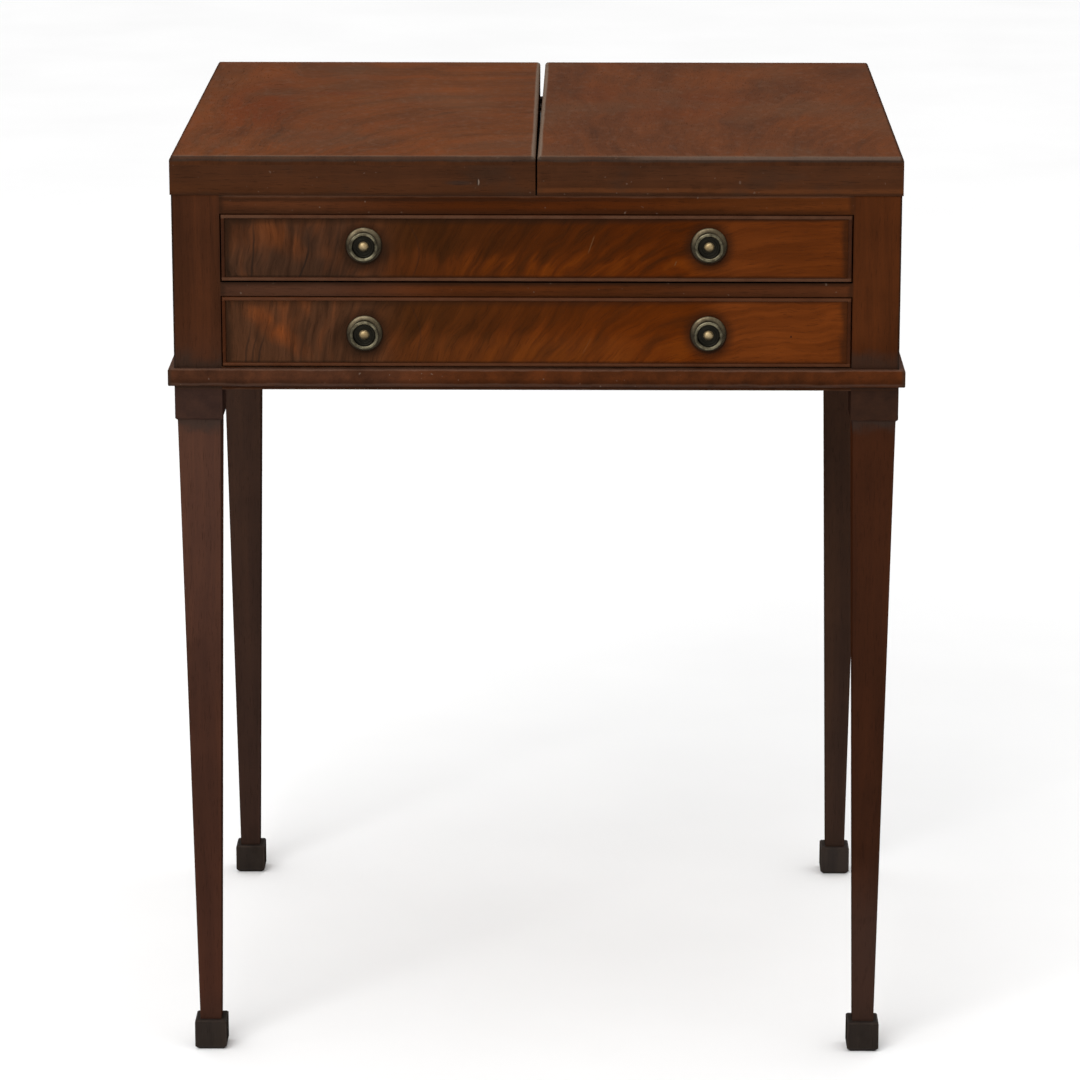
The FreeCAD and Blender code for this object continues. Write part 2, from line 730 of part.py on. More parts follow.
def make_mirror_frame():
    """Four mitred members with a rebate below for the glass."""
    def shaped(strip):
        cut_block(strip, "rebate",
                  (-mirror_length / 2, size.mirror_frame_width - size.mirror_rebate, ZERO),
                  (mirror_length, size.mirror_rebate,
                   size.mirror_frame_height - size.mirror_lip))
        dress(strip, "Chamfer", "sight_bevel", size.mirror_lip / 2,
              lambda p: near(p.z, size.mirror_frame_height)
              and near(p.y, size.mirror_frame_width))

    strips = ring_of_strips("mirror_frame", mirror_width, mirror_length,
                            size.mirror_frame_width, size.mirror_frame_height, shaped)
    along = mirror_length / 2 - size.pivot_inset
    for strip, x in ((strips[1], -along), (strips[3], along)):
        rod(strip, "Subtractive", "pivot_hole", (x, ZERO, size.mirror_frame_height / 2),
            size.pivot_radius + size.pivot_play, size.pivot_length, (0, 1, 0))
    frame = ring_part("mirror_frame", strips, ZERO, middle_y + mirror_middle_y, mirror_base)
    keep(frame, "mirror_frame")


def make_mirror_plate(name, base, thickness):
    """The glass or the board behind it, held in the frame's rebate."""
    play = size.groove_play
    width = sight_width + size.mirror_rebate * 2 - play * 2
    length = sight_length + size.mirror_rebate * 2 - play * 2
    body = new_body(name, ZERO, middle_y + mirror_middle_y, base)
    add_block(body, name + "_plate", (-width / 2, -length / 2, ZERO), (width, length, thickness))
    keep(body, name)


def make_mirror_pivots():
    """Two brass pins through the long dividers into the mirror frame."""
    pins = []
    outer = size.bay_width / 2 + size.divider_thickness
    for side, _, sign in SIDES:
        body = new_body(side + "_pivot", outer * sign, middle_y + mirror_pivot_y, mirror_pivot_z)
        rod(body, "Additive", "pivot_pin", (ZERO, ZERO, ZERO), size.pivot_radius,
            size.pivot_length, (-sign, 0, 0))
        pins.append(body)
    group("mirror_pivots", pins)


def make_strut():
    """A flat easel strut with a round bar across its foot."""
    body = new_body("mirror_strut", ZERO, middle_y + strut_pin_y, strut_middle_z)
    low = -size.strut_thickness / 2
    add_block(body, "strut_board", (-size.strut_width / 2, low, low),
              (size.strut_width, strut_length - low, size.strut_thickness))
    rod(body, "Additive", "foot_bar", (-size.foot_bar_length / 2, strut_length, ZERO),
        size.foot_bar_radius, size.foot_bar_length, (1, 0, 0))
    rod(body, "Subtractive", "strut_pin_hole", (-size.strut_width / 2, ZERO, ZERO),
        size.strut_pin_radius + size.pin_play, size.strut_width, (1, 0, 0))
    keep(body, "mirror_strut")


def make_strut_bracket():
    """Two ears under the mirror's back and the pin that the strut turns on."""
    body = new_body("strut_bracket", ZERO, middle_y + strut_pin_y, strut_middle_z)
    inner = size.strut_width / 2 + size.ear_gap
    outer = inner + size.ear_thickness
    below = size.strut_thickness / 2
    rod(body, "Additive", "strut_pin", (-outer, ZERO, ZERO), size.strut_pin_radius,
        outer * 2, (1, 0, 0))
    for side, start in (("left", -outer), ("right", inner)):
        add_block(body, side + "_ear", (start, -size.ear_length / 2, -below),
                  (size.ear_thickness, size.ear_length,
                   backboard_base - strut_middle_z + below))
    keep(body, "strut_bracket")


def make_ratchet():
    """Two toothed strips on the floor of the well that catch the strut's foot bar."""
    strips = []
    start = strut_pin_y - strut_length / 2
    length = strut_length + strut_length / 2 - size.foot_bar_radius * 2
    pitch = length / TOOTH_COUNT
    root = size.ratchet_height - size.tooth_depth
    points = [(ZERO, 0), (length, 0)]
    for tooth in range(TOOTH_COUNT, 0, -1):
        points.append((pitch * tooth, size.ratchet_height))
        points.append((pitch * (tooth - 1), root))
    inner = size.strut_width / 2 + size.ear_gap * 2 + size.ear_thickness
    for side, _, sign in SIDES:
        x = inner if sign > 0 else -inner - size.ratchet_width
        body = new_body(side + "_ratchet", x, middle_y + start, well_floor_top)
        sketch = new_sketch(body, side + "_teeth", "YZ_Plane")
        draw(sketch, points)
        pad(body, side + "_ratchet_pad", sketch, size.ratchet_width)
        strips.append(body)
    group("mirror_ratchet", strips)


# Lid hinges
def make_leaf(name, y, turn, base, first_space):
    """A leaf with its knuckles about the pin; every second knuckle is the other leaf's."""
    body = new_body(name, pin_x if turn == 0 else -pin_x, middle_y + y, pin_z, turned(turn))
    low_y = -size.hinge_length / 2
    add_block(body, name + "_plate", (-knuckle_clear - size.leaf_width, low_y, base),
              (size.leaf_width + knuckle_clear, size.hinge_length, size.leaf_thickness))
    rod(body, "Additive", name + "_barrel", (ZERO, low_y, ZERO), size.knuckle_radius,
        size.hinge_length, (0, 1, 0))
    room = knuckle_clear * 2
    pitch = size.hinge_length / KNUCKLE_COUNT
    for index in range(first_space, KNUCKLE_COUNT, 2):
        before = size.knuckle_gap / 2 if index > 0 else ZERO
        after = size.knuckle_gap / 2 if index < KNUCKLE_COUNT - 1 else ZERO
        cut_block(body, "%s_space_%d" % (name, index),
                  (-knuckle_clear, low_y + pitch * index - before, -knuckle_clear),
                  (room, pitch + before + after, room))
    rod(body, "Subtractive", name + "_bore", (ZERO, low_y, ZERO),
        size.pin_radius + size.pin_play, size.hinge_length, (0, 1, 0))
    return body


def make_case_hinges():
    """The leaves let into the case, and the pins that both leaves turn on."""
    leaves, pins = [], []
    base = -size.lid_gap / 2 - size.leaf_thickness
    for side, turn, sign in SIDES:
        for index, y in enumerate(hinge_places, start=1):
            leaves.append(make_leaf("case_leaf_%s_%d" % (side, index), y, turn, base, 1))
            pin = new_body("hinge_pin_%s_%d" % (side, index), pin_x * sign, middle_y + y, pin_z)
            rod(pin, "Additive", "pin_rod", (ZERO, -size.hinge_length / 2, ZERO),
                size.pin_radius, size.hinge_length, (0, 1, 0))
            pins.append(pin)
    group("case_hinge_leaves", leaves)
    group("hinge_pins", pins)


# The lids
def meeting_edge(sign, share):
    """x of the meeting edge, at a share of the way from front to back."""
    gap = size.meeting_gap_front
    spread = size.meeting_gap_back - size.meeting_gap_front
    return (gap + spread * share) * sign / 2


lid_front = -half_depth - size.lid_overhang
lid_depth = size.case_depth + size.lid_overhang * 2


def lid_outline(sign, start, end):
    """Plan of a lid between two distances from its front edge."""
    points = [(meeting_edge(sign, start / lid_depth), lid_front + start),
              (lid_end * sign, lid_front + start),
              (lid_end * sign, lid_front + end),
              (meeting_edge(sign, end / lid_depth), lid_front + end)]
    return points


def make_plank(name, points, base, height):
    body = new_body(name, ZERO, middle_y, base)
    sketch = new_sketch(body, name + "_plan", "XY_Plane")
    draw(sketch, points)
    pad(body, name + "_pad", sketch, height)
    return body


def make_lid_board(side, sign):
    """The top board, rounded along its upper edges."""
    board = make_plank(side + "_lid_board", lid_outline(sign, ZERO, lid_depth),
                       lid_base + size.lid_rail_height, size.board_thickness)
    dress(board, "Fillet", side + "_lid_round", size.board_round,
          lambda p: near(p.z, size.board_thickness))
    keep(board, side + "_lid_board")


def make_lid_frame(side, turn, sign):
    """Four rails under the board; the outer one carries the hinges."""
    width = size.lid_rail_width
    height = size.lid_rail_height
    front_rail = make_plank(side + "_lid_front_rail", lid_outline(sign, ZERO, width),
                            lid_base, height)
    back_rail = make_plank(side + "_lid_back_rail",
                           lid_outline(sign, lid_depth - width, lid_depth), lid_base, height)
    near_point, _, _, far_point = lid_outline(sign, width, lid_depth - width)
    meeting_points = [near_point, (near_point[0] + width * sign, near_point[1]),
                      (far_point[0] + width * sign, far_point[1]), far_point]
    meeting_rail = make_plank(side + "_lid_meeting_rail", meeting_points, lid_base, height)
    hinge_rail = new_body(side + "_lid_hinge_rail", ZERO, middle_y, ZERO, turned(turn))
    add_block(hinge_rail, side + "_hinge_bar", (lid_end - width, lid_front + width, lid_base),
              (width, lid_depth - width * 2, height))
    let_in_hinges(hinge_rail, lid_base, lid_base)
    group(side + "_lid_frame", [front_rail, back_rail, meeting_rail, hinge_rail])


def make_lid_hinges(side, turn):
    """The leaves let into a lid's outer rail, with the end knuckles left to the case."""
    leaves = [make_leaf("%s_lid_leaf_%d" % (side, index), y, turn, size.lid_gap / 2, 0)
              for index, y in enumerate(hinge_places, start=1)]
    group(side + "_lid_hinge_leaves", leaves)


# The drawers
class Drawer:
    """The places that one drawer's pieces share."""

    def __init__(self, name, floor, opening, side_gap, bottom_gap, side_height, knob_rise):
        self.name = name
        self.width = rail_span - side_gap * 2
        self.front_base = floor + bottom_gap
        self.front_height = opening - bottom_gap - size.top_gap
        self.side_base = floor + size.run_gap
        self.side_height = side_height
        self.drop = self.side_base - self.front_base
        self.back_rise = size.bottom_rise + size.bottom_thickness
        self.knob_height = knob_rise - bottom_gap
        self.side_run = drawer_length - size.front_thickness - size.back_thickness


def tails(base, height, shoulder, tip):
    """Dovetail outlines between a shoulder and the tips, over one height."""
    pitch = height / TAIL_COUNT
    neck = pitch * size.tail_share
    flare = size.slope_share * abs_size(tip - shoulder)
    outlines = []
    for index in range(TAIL_COUNT):
        middle = base + pitch * index + pitch / 2
        outlines.append([(shoulder, middle - neck), (tip, middle - neck - flare),
                         (tip, middle + neck + flare), (shoulder, middle + neck)])
    return outlines


def abs_size(value):
    return value if value.number >= 0 else -value


def cut_sockets(body, drawer, outlines):
    """Dovetail sockets in both ends of a drawer's front or back."""
    inner = drawer.width / 2 - size.side_thickness
    sketch = new_sketch(body, "socket_outlines", "YZ_Plane", inner)
    for outline in outlines:
        draw(sketch, outline)
    sockets = pocket(body, "sockets", sketch, size.side_thickness, forward=True)
    mirrored = body.newObject("PartDesign::Mirrored", "other_sockets")
    mirrored.Originals = [sockets]
    mirrored.MirrorPlane = (origin_plane(body, "YZ_Plane"), [""])
    body.Tip = mirrored
    doc.recompute()


def make_drawer_front(drawer):
    """Rebated round its face for the cockbead, with lapped dovetails at its ends."""
    body = new_body(drawer.name + "_drawer_front", ZERO, front, drawer.front_base)
    bead = size.bead_width
    left = -drawer.width / 2
    add_block(body, "field", (left + bead, ZERO, bead),
              (drawer.width - bead * 2, size.bead_depth, drawer.front_height - bead * 2))
    add_block(body, "ground", (left, size.bead_depth, ZERO),
              (drawer.width, size.front_thickness - size.bead_depth, drawer.front_height))
    shoulder = size.front_thickness
    cut_sockets(body, drawer, tails(drawer.drop, drawer.side_height, shoulder,
                                    shoulder - size.tail_length))
    inner = drawer.width / 2 - size.side_thickness
    cut_block(body, "bottom_groove",
              (-inner, size.front_thickness - size.groove_depth, drawer.drop + size.bottom_rise),
              (inner * 2, size.groove_depth, size.bottom_thickness))
    for side, _, sign in SIDES:
        rod(body, "Subtractive", side + "_stem_hole",
            (size.knob_spread * sign / 2, ZERO, drawer.knob_height),
            size.stem_radius, size.stem_length, (0, 1, 0))
    keep(body, drawer.name + "_drawer_front")


def make_cockbead(drawer):
    """Four mitred strips let into the edge of the drawer front, rounded in front."""
    depth = size.bead_depth + size.bead_proud

    def rounded(strip):
        for edge, level in (("outer", ZERO), ("inner", size.bead_width)):
            dress(strip, "Fillet", edge + "_round", size.bead_round,
                  lambda p, level=level: near(p.z, depth) and near(p.y, level))

    name = drawer.name + "_cockbead"
    strips = ring_of_strips(name, drawer.width, drawer.front_height, size.bead_width,
                            depth, rounded)
    ring = ring_part(name, strips, ZERO, front + size.bead_depth,
                     drawer.front_base + drawer.front_height / 2, FACING_FRONT)
    keep(ring, name)


def make_drawer_side(drawer, side, sign):
    """Dovetailed at both ends and grooved inside for the bottom."""
    name = "%s_drawer_side_%s" % (drawer.name, side)
    outer = drawer.width / 2
    x = outer - size.side_thickness if sign > 0 else -outer
    body = new_body(name, x, front + size.front_thickness, drawer.side_base)
    sketch = new_sketch(body, name + "_outline", "YZ_Plane")
    run = drawer.side_run
    points = [(0, 0)]
    for outline in tails(ZERO, drawer.side_height, ZERO, -size.tail_length):
        points.extend(outline)
    points.append((0, drawer.side_height))
    points.append((run, drawer.side_height))
    back_height = drawer.side_height - drawer.back_rise
    back_tails = tails(drawer.back_rise, back_height, run, run + size.back_thickness)
    for outline in reversed(back_tails):
        points.extend(reversed(outline))
    points.append((run, 0))
    draw(sketch, points)
    pad(body, name + "_pad", sketch, size.side_thickness)
    groove_x = ZERO if sign > 0 else size.side_thickness - size.groove_depth
    cut_block(body, name + "_groove", (groove_x, ZERO, size.bottom_rise),
              (size.groove_depth, run, size.bottom_thickness))
    keep(body, name)


def make_drawer_back(drawer):
    """Stands on the drawer bottom, with through dovetails at its ends."""
    name = drawer.name + "_drawer_back"
    body = new_body(name, ZERO, front + drawer_length - size.back_thickness,
                    drawer.side_base)
    back_height = drawer.side_height - drawer.back_rise
    add_block(body, name + "_board", (-drawer.width / 2, ZERO, drawer.back_rise),
              (drawer.width, size.back_thickness, back_height))
    cut_sockets(body, drawer, tails(drawer.back_rise, back_height, ZERO, size.back_thickness))
    keep(body, name)


def make_drawer_bottom(drawer):
    """Slides into the grooves from the back."""
    name = drawer.name + "_drawer_bottom"
    half = (drawer.width / 2 - size.side_thickness + size.groove_depth - size.groove_play)
    start = size.front_thickness - size.groove_depth + size.groove_play
    body = new_body(name, ZERO, front + start, drawer.side_base + size.bottom_rise)
    inner = drawer.width / 2 - size.side_thickness
    add_block(body, name + "_board", (-inner, ZERO, ZERO),
              (inner * 2, drawer_length - start, size.bottom_thickness))
    for side, x in (("left", -half), ("right", inner)):
        add_block(body, "%s_%s_edge" % (name, side), (x, size.front_thickness - start, ZERO),
                  (half - inner, drawer.side_run, size.bottom_thickness))
    keep(body, name)


def crown(outer, inner, base, rise, flats, turn):
    """Points of a rounded form over so many flats, after the first; turn is its whole angle."""
    middle = (outer + inner) / 2
    reach = (outer - inner) / 2
    points = []
    for flat in range(1, flats + 1):
        angle = turn * flat / flats
        points.append((middle + reach * math.cos(angle), base + rise * math.sin(angle)))
    return points


def make_knob(name, x, z):
    """A turned brass knob: stem, waisted neck, and a dished head with a button."""
    body = new_body(name, x, front, z, FACING_FRONT)
    sketch = new_sketch(body, name + "_profile", "XZ_Plane")
    seat = size.plate_thickness
    head = seat + size.neck_length
    face = head + size.head_thickness
    rim_base = face - size.rim_height
    rim_inner = size.knob_radius - size.knob_rim
    dish = face - size.dish_depth
    rim = crown(size.knob_radius, rim_inner, rim_base, size.rim_height, RIM_FLAT_COUNT, math.pi)
    button = crown(size.boss_radius, -size.boss_radius, dish, size.boss_height,
                   BUTTON_FLAT_COUNT, math.pi / 2)
    draw(sketch, [
        (0, -size.stem_length),
        (size.stem_radius, -size.stem_length),
        (size.stem_radius, seat),
        (size.knob_foot, seat),
        (size.knob_neck, seat + size.neck_flare),
        (size.knob_neck, head - size.neck_flare),
        (size.head_back, head),
        (size.knob_radius, rim_base),
        *rim,
        (size.boss_radius, dish),
        *button[:-1],
        (0, dish + size.boss_height),
    ])
    revolve(body, name + "_turned", sketch)
    return body


def make_knob_plate(name, x, z):
    """A round back plate with a raised beaded edge."""
    body = new_body(name, x, front, z, FACING_FRONT)
    sketch = new_sketch(body, name + "_profile", "XZ_Plane")
    seat = size.plate_thickness
    bead_base = seat / 2
    bead_rise = seat + size.plate_bead_height - bead_base
    bead = crown(size.plate_radius, size.plate_radius - size.plate_bead, bead_base, bead_rise,
                 BEAD_FLAT_COUNT, math.pi)
    draw(sketch, [
        (size.stem_radius, 0),
        (size.plate_radius, 0),
        (size.plate_radius, bead_base),
        *bead[:-1],
        (size.plate_radius - size.plate_bead, seat),
        (size.stem_radius, seat),
    ])
    revolve(body, name + "_turned", sketch)
    return body


def make_drawer(drawer):
    make_drawer_front(drawer)
    make_cockbead(drawer)
    for side, _, sign in SIDES:
        make_drawer_side(drawer, side, sign)
    make_drawer_back(drawer)
    make_drawer_bottom(drawer)
    knobs, plates = [], []
    for side, _, sign in SIDES:
        x = size.knob_spread * sign / 2
        z = drawer.front_base + drawer.knob_height
        knobs.append(make_knob("%s_knob_%s" % (drawer.name, side), x, z))
        plates.append(make_knob_plate("%s_plate_%s" % (drawer.name, side), x, z))
    group(drawer.name + "_drawer_knobs", knobs)
    group(drawer.name + "_drawer_knob_plates", plates)


def make_table():
    collars = []
    for name, sign_x, sign_y, turn, across in CORNERS:
        make_leg(name, sign_x, sign_y, turn, across)
        make_foot(name, sign_x, sign_y)
        collars.append(make_collar(name, sign_x, sign_y))
    group("leg_collars", collars)
    for side, turn, _ in SIDES:
        make_panel("side_panel_" + side, turn, half_width, side_span, True)
    make_panel("back_panel", 1, half_depth, rail_span, False)
    for rail in RAILS:
        make_rail(*rail)
    make_base_moulding()
    for side, turn, _ in SIDES:
        make_runner("lower_runner_" + side, turn, lower_floor, mid_rail_base)
        make_runner("upper_runner_" + side, turn, upper_floor, well_floor_base)
    make_drawer_stops()
    make_well_rail()
    make_well_floor()
    for side, _, sign in SIDES:
        make_long_divider("well_divider_" + side, sign)
    make_cross_dividers()
    make_mirror_frame()
    glass_base = backboard_base + size.mirror_back_thickness
    make_mirror_plate("mirror_glass", glass_base, size.glass_thickness)
    make_mirror_plate("mirror_backboard", backboard_base, size.mirror_back_thickness)
    make_mirror_pivots()
    make_strut()
    make_strut_bracket()
    make_ratchet()
    make_case_hinges()
    for side, turn, sign in SIDES:
        make_lid_board(side, sign)
        make_lid_frame(side, turn, sign)
        make_lid_hinges(side, turn)
    make_drawer(Drawer("upper", upper_floor, size.upper_opening, size.upper_side_gap,
                       size.upper_bottom_gap, size.upper_side_height, size.upper_knob_rise))
    make_drawer(Drawer("lower", lower_floor, size.lower_opening, size.lower_side_gap,
                       size.lower_bottom_gap, size.lower_side_height, size.lower_knob_rise))


def check_and_write():
    doc.recompute()
    for item in doc.Objects:
        if "Invalid" in item.State or "Error" in item.State:
            raise ValueError("%s is in state %s" % (item.Label, item.State))
    for item in nodes:
        if item.Shape.isNull() or not item.Shape.isValid():
            raise ValueError("%s has no valid shape" % item.Label)
    os.makedirs("parts", exist_ok=True)
    for item in nodes:
        item.Shape.exportStep("parts/%s.step" % item.Label)
    print("%d nodes written" % len(nodes))


make_table()
check_and_write()
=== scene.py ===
import json
import math
import random

import bmesh
import bpy
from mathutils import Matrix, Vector

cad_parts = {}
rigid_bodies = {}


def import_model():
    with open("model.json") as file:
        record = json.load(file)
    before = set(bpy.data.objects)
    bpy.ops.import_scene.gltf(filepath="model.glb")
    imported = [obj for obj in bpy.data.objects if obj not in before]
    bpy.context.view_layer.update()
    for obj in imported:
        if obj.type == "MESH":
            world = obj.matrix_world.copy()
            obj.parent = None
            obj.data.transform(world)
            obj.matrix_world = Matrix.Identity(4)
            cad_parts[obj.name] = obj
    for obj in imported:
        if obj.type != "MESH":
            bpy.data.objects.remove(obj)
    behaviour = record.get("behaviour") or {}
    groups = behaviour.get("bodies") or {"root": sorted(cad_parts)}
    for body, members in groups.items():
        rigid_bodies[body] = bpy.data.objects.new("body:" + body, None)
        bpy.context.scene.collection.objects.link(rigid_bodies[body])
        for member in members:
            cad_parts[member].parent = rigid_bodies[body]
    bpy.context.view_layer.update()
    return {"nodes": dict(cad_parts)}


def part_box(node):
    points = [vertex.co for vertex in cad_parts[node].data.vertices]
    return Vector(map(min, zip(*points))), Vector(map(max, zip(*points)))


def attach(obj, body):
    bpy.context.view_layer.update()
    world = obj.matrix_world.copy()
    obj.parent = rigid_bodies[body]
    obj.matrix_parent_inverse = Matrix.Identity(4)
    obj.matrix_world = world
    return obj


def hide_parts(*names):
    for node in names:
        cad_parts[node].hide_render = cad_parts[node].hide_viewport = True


# Start from an empty scene with the CAD part in it
for thing in list(bpy.data.objects):
    bpy.data.objects.remove(thing, do_unlink=True)
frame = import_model()
nodes = frame["nodes"]

# Places on the table at rest, in metres
CASE_BASE = 0.6
CASE_HALF = 0.309
POST_INSIDE = 0.2684
LID_HALF = 0.31
LID_TOP = 0.802
BEAD_LAP = 0.0032
KNOB_X = 0.1462
SQUARE = ((-1, -1), (1, -1), (1, 1), (-1, 1))

# Linear colours that several pieces share
WORN_WOOD = (0.1, 0.055, 0.034)
WORN_LINING = (0.26, 0.17, 0.1)
PALE_SPECK = (0.22, 0.16, 0.12)
WAX_TINT = (1.0, 0.6, 0.4, 1.0)


# A short way to build the nodes of a material or a sky
class Nodes:
    def __init__(self, owner):
        owner.use_nodes = True
        self.tree = owner.node_tree
        self.tree.nodes.clear()

    def node(self, kind, **settings):
        made = self.tree.nodes.new(kind)
        for key, value in settings.items():
            setattr(made, key, value)
        return made

    def feed(self, socket, value):
        if isinstance(value, bpy.types.NodeSocket):
            self.tree.links.new(value, socket)
        else:
            socket.default_value = value

    def math(self, operation, *values):
        made = self.node("ShaderNodeMath", operation=operation)
        for socket, value in zip(made.inputs, values):
            self.feed(socket, value)
        return made.outputs[0]

    def add(self, a, b):
        return self.math("ADD", a, b)

    def sub(self, a, b):
        return self.math("SUBTRACT", a, b)

    def mul(self, a, b):
        return self.math("MULTIPLY", a, b)

    def least(self, a, b):
        return self.math("MINIMUM", a, b)

    def most(self, a, b):
        return self.math("MAXIMUM", a, b)

    def size_of(self, a):
        return self.math("ABSOLUTE", a)

    def split(self, vector):
        made = self.node("ShaderNodeSeparateXYZ")
        self.feed(made.inputs[0], vector)
        return tuple(made.outputs)

    def join(self, x, y, z):
        made = self.node("ShaderNodeCombineXYZ")
        for socket, value in zip(made.inputs, (x, y, z)):
            self.feed(socket, value)
        return made.outputs[0]

    def stretch(self, vector, factors, shift=(0, 0, 0)):
        made = self.node("ShaderNodeVectorMath", operation="MULTIPLY_ADD")
        self.feed(made.inputs[0], vector)
        made.inputs[1].default_value = factors
        made.inputs[2].default_value = shift
        return made.outputs[0]

    def fade(self, value, start, end, low=0.0, high=1.0, kind="SMOOTHSTEP"):
        made = self.node("ShaderNodeMapRange", interpolation_type=kind)
        self.feed(made.inputs["Value"], value)
        for key, limit in zip(("From Min", "From Max", "To Min", "To Max"), (start, end, low, high)):
            made.inputs[key].default_value = limit
        return made.outputs["Result"]


# One material: its point is a place on the table at rest, in metres
class Shade(Nodes):
    def __init__(self, name):
        self.material = bpy.data.materials.new(name)
        super().__init__(self.material)
        self.shader = self.node("ShaderNodeBsdfPrincipled")
        self.feed(self.node("ShaderNodeOutputMaterial").inputs["Surface"], self.shader.outputs["BSDF"])
        self.point = self.node("ShaderNodeTexCoord").outputs["Object"]
        self.x, self.y, self.z = self.split(self.point)

    def placed(self, x, y, z, seed):
        """A point of its own for each seed, so that no two pieces share a figure"""
        return self.stretch(self.join(x, y, z), (1, 1, 1), seeded_shift(seed))

    def noise(self, vector, detail, roughness):
        made = self.node("ShaderNodeTexNoise")
        self.feed(made.inputs["Vector"], vector)
        made.inputs["Scale"].default_value = 1.0
        made.inputs["Detail"].default_value = detail
        made.inputs["Roughness"].default_value = roughness
        return made.outputs["Fac"]

    def grain(self, vector, scales, detail, roughness, shift=(0, 0, 0)):
        return self.noise(self.stretch(vector, scales, shift), detail, roughness)

    def cloud(self, scales, detail, roughness, shift=(0, 0, 0)):
        """Noise through the table's own space, with one scale or three"""
        if isinstance(scales, float):
            scales = (scales,) * 3
        return self.grain(self.point, scales, detail, roughness, shift)

    def swing(self, noise, reach):
        """A noise made into a push to either side"""
        return self.mul(self.sub(noise, 0.5), reach)

    def fade_linear(self, value, start, end, low=0.0, high=1.0):
        return self.fade(value, start, end, low, high, "LINEAR")

    def stripe(self, value, middle, rim, core):
        """One along a line, fading to zero at its rim"""
        return self.fade(self.size_of(self.sub(value, middle)), rim, core)

    def blob(self, u, v, place, reach, rim=0.25):
        """One inside an ellipse about a place, fading to zero at its rim"""
        du = self.mul(self.sub(u, place[0]), 1.0 / reach[0])
        dv = self.mul(self.sub(v, place[1]), 1.0 / reach[1])
        return self.fade(self.length(du, dv), 1.0, rim)

    def length(self, du, dv):
        return self.math("SQRT", self.add(self.mul(du, du), self.mul(dv, dv)))

    def ramp(self, value, stops):
        made = self.node("ShaderNodeValToRGB")
        band = made.color_ramp
        while len(band.elements) < len(stops):
            band.elements.new(0.5)
        for element, (place, colour) in zip(band.elements, stops):
            element.position = place
            element.color = (*colour, 1.0)
        self.feed(made.inputs["Fac"], value)
        return made.outputs["Color"]

    def curve(self, value, points):
        made = self.node("ShaderNodeFloatCurve")
        line = made.mapping.curves[0]
        while len(line.points) < len(points):
            line.points.new(0.5, 0.5)
        for point, place in zip(line.points, points):
            point.location = place
        made.mapping.update()
        self.feed(made.inputs["Value"], value)
        return made.outputs[0]

    def mix_node(self, kind, first, output, factor, a, b):
        """The mix node has two inputs and one output for each kind of value"""
        made = self.node("ShaderNodeMix", data_type=kind)
        for socket, value in zip(made.inputs[:1] + made.inputs[first:first + 2], (factor, a, b)):
            self.feed(socket, value)
        return made.outputs[output]

    def blend(self, factor, a, b):
        return self.mix_node("FLOAT", 2, 0, factor, a, b)

    def mix(self, factor, a, b):
        a, b = (v if isinstance(v, bpy.types.NodeSocket) else (*v, 1.0) for v in (a, b))
        return self.mix_node("RGBA", 6, 2, factor, a, b)

    def stain(self, paint, mask, strength, colour):
        return self.mix(self.mul(mask, strength), paint, colour)

    def scale_colour(self, colour, factor):
        made = self.node("ShaderNodeVectorMath", operation="SCALE")
        self.feed(made.inputs[0], colour)
        self.feed(made.inputs["Scale"], factor)
        return made.outputs[0]

    def darken(self, paint, mask, share):
        return self.scale_colour(paint, self.sub(1.0, self.mul(mask, share)))

    def finish(self, colour, roughness, height, depth, specular, metallic=0.0, tint=None):
        self.feed(self.shader.inputs["Base Color"], colour)
        self.feed(self.shader.inputs["Roughness"], roughness)
        self.feed(self.shader.inputs["Specular IOR Level"], specular)
        self.shader.inputs["Metallic"].default_value = metallic
        if tint:
            self.shader.inputs["Specular Tint"].default_value = tint
        bump = self.node("ShaderNodeBump")
        bump.inputs["Strength"].default_value = 1.0
        bump.inputs["Distance"].default_value = depth
        self.feed(bump.inputs["Height"], height)
        self.feed(self.shader.inputs["Normal"], bump.outputs["Normal"])
        return self.material


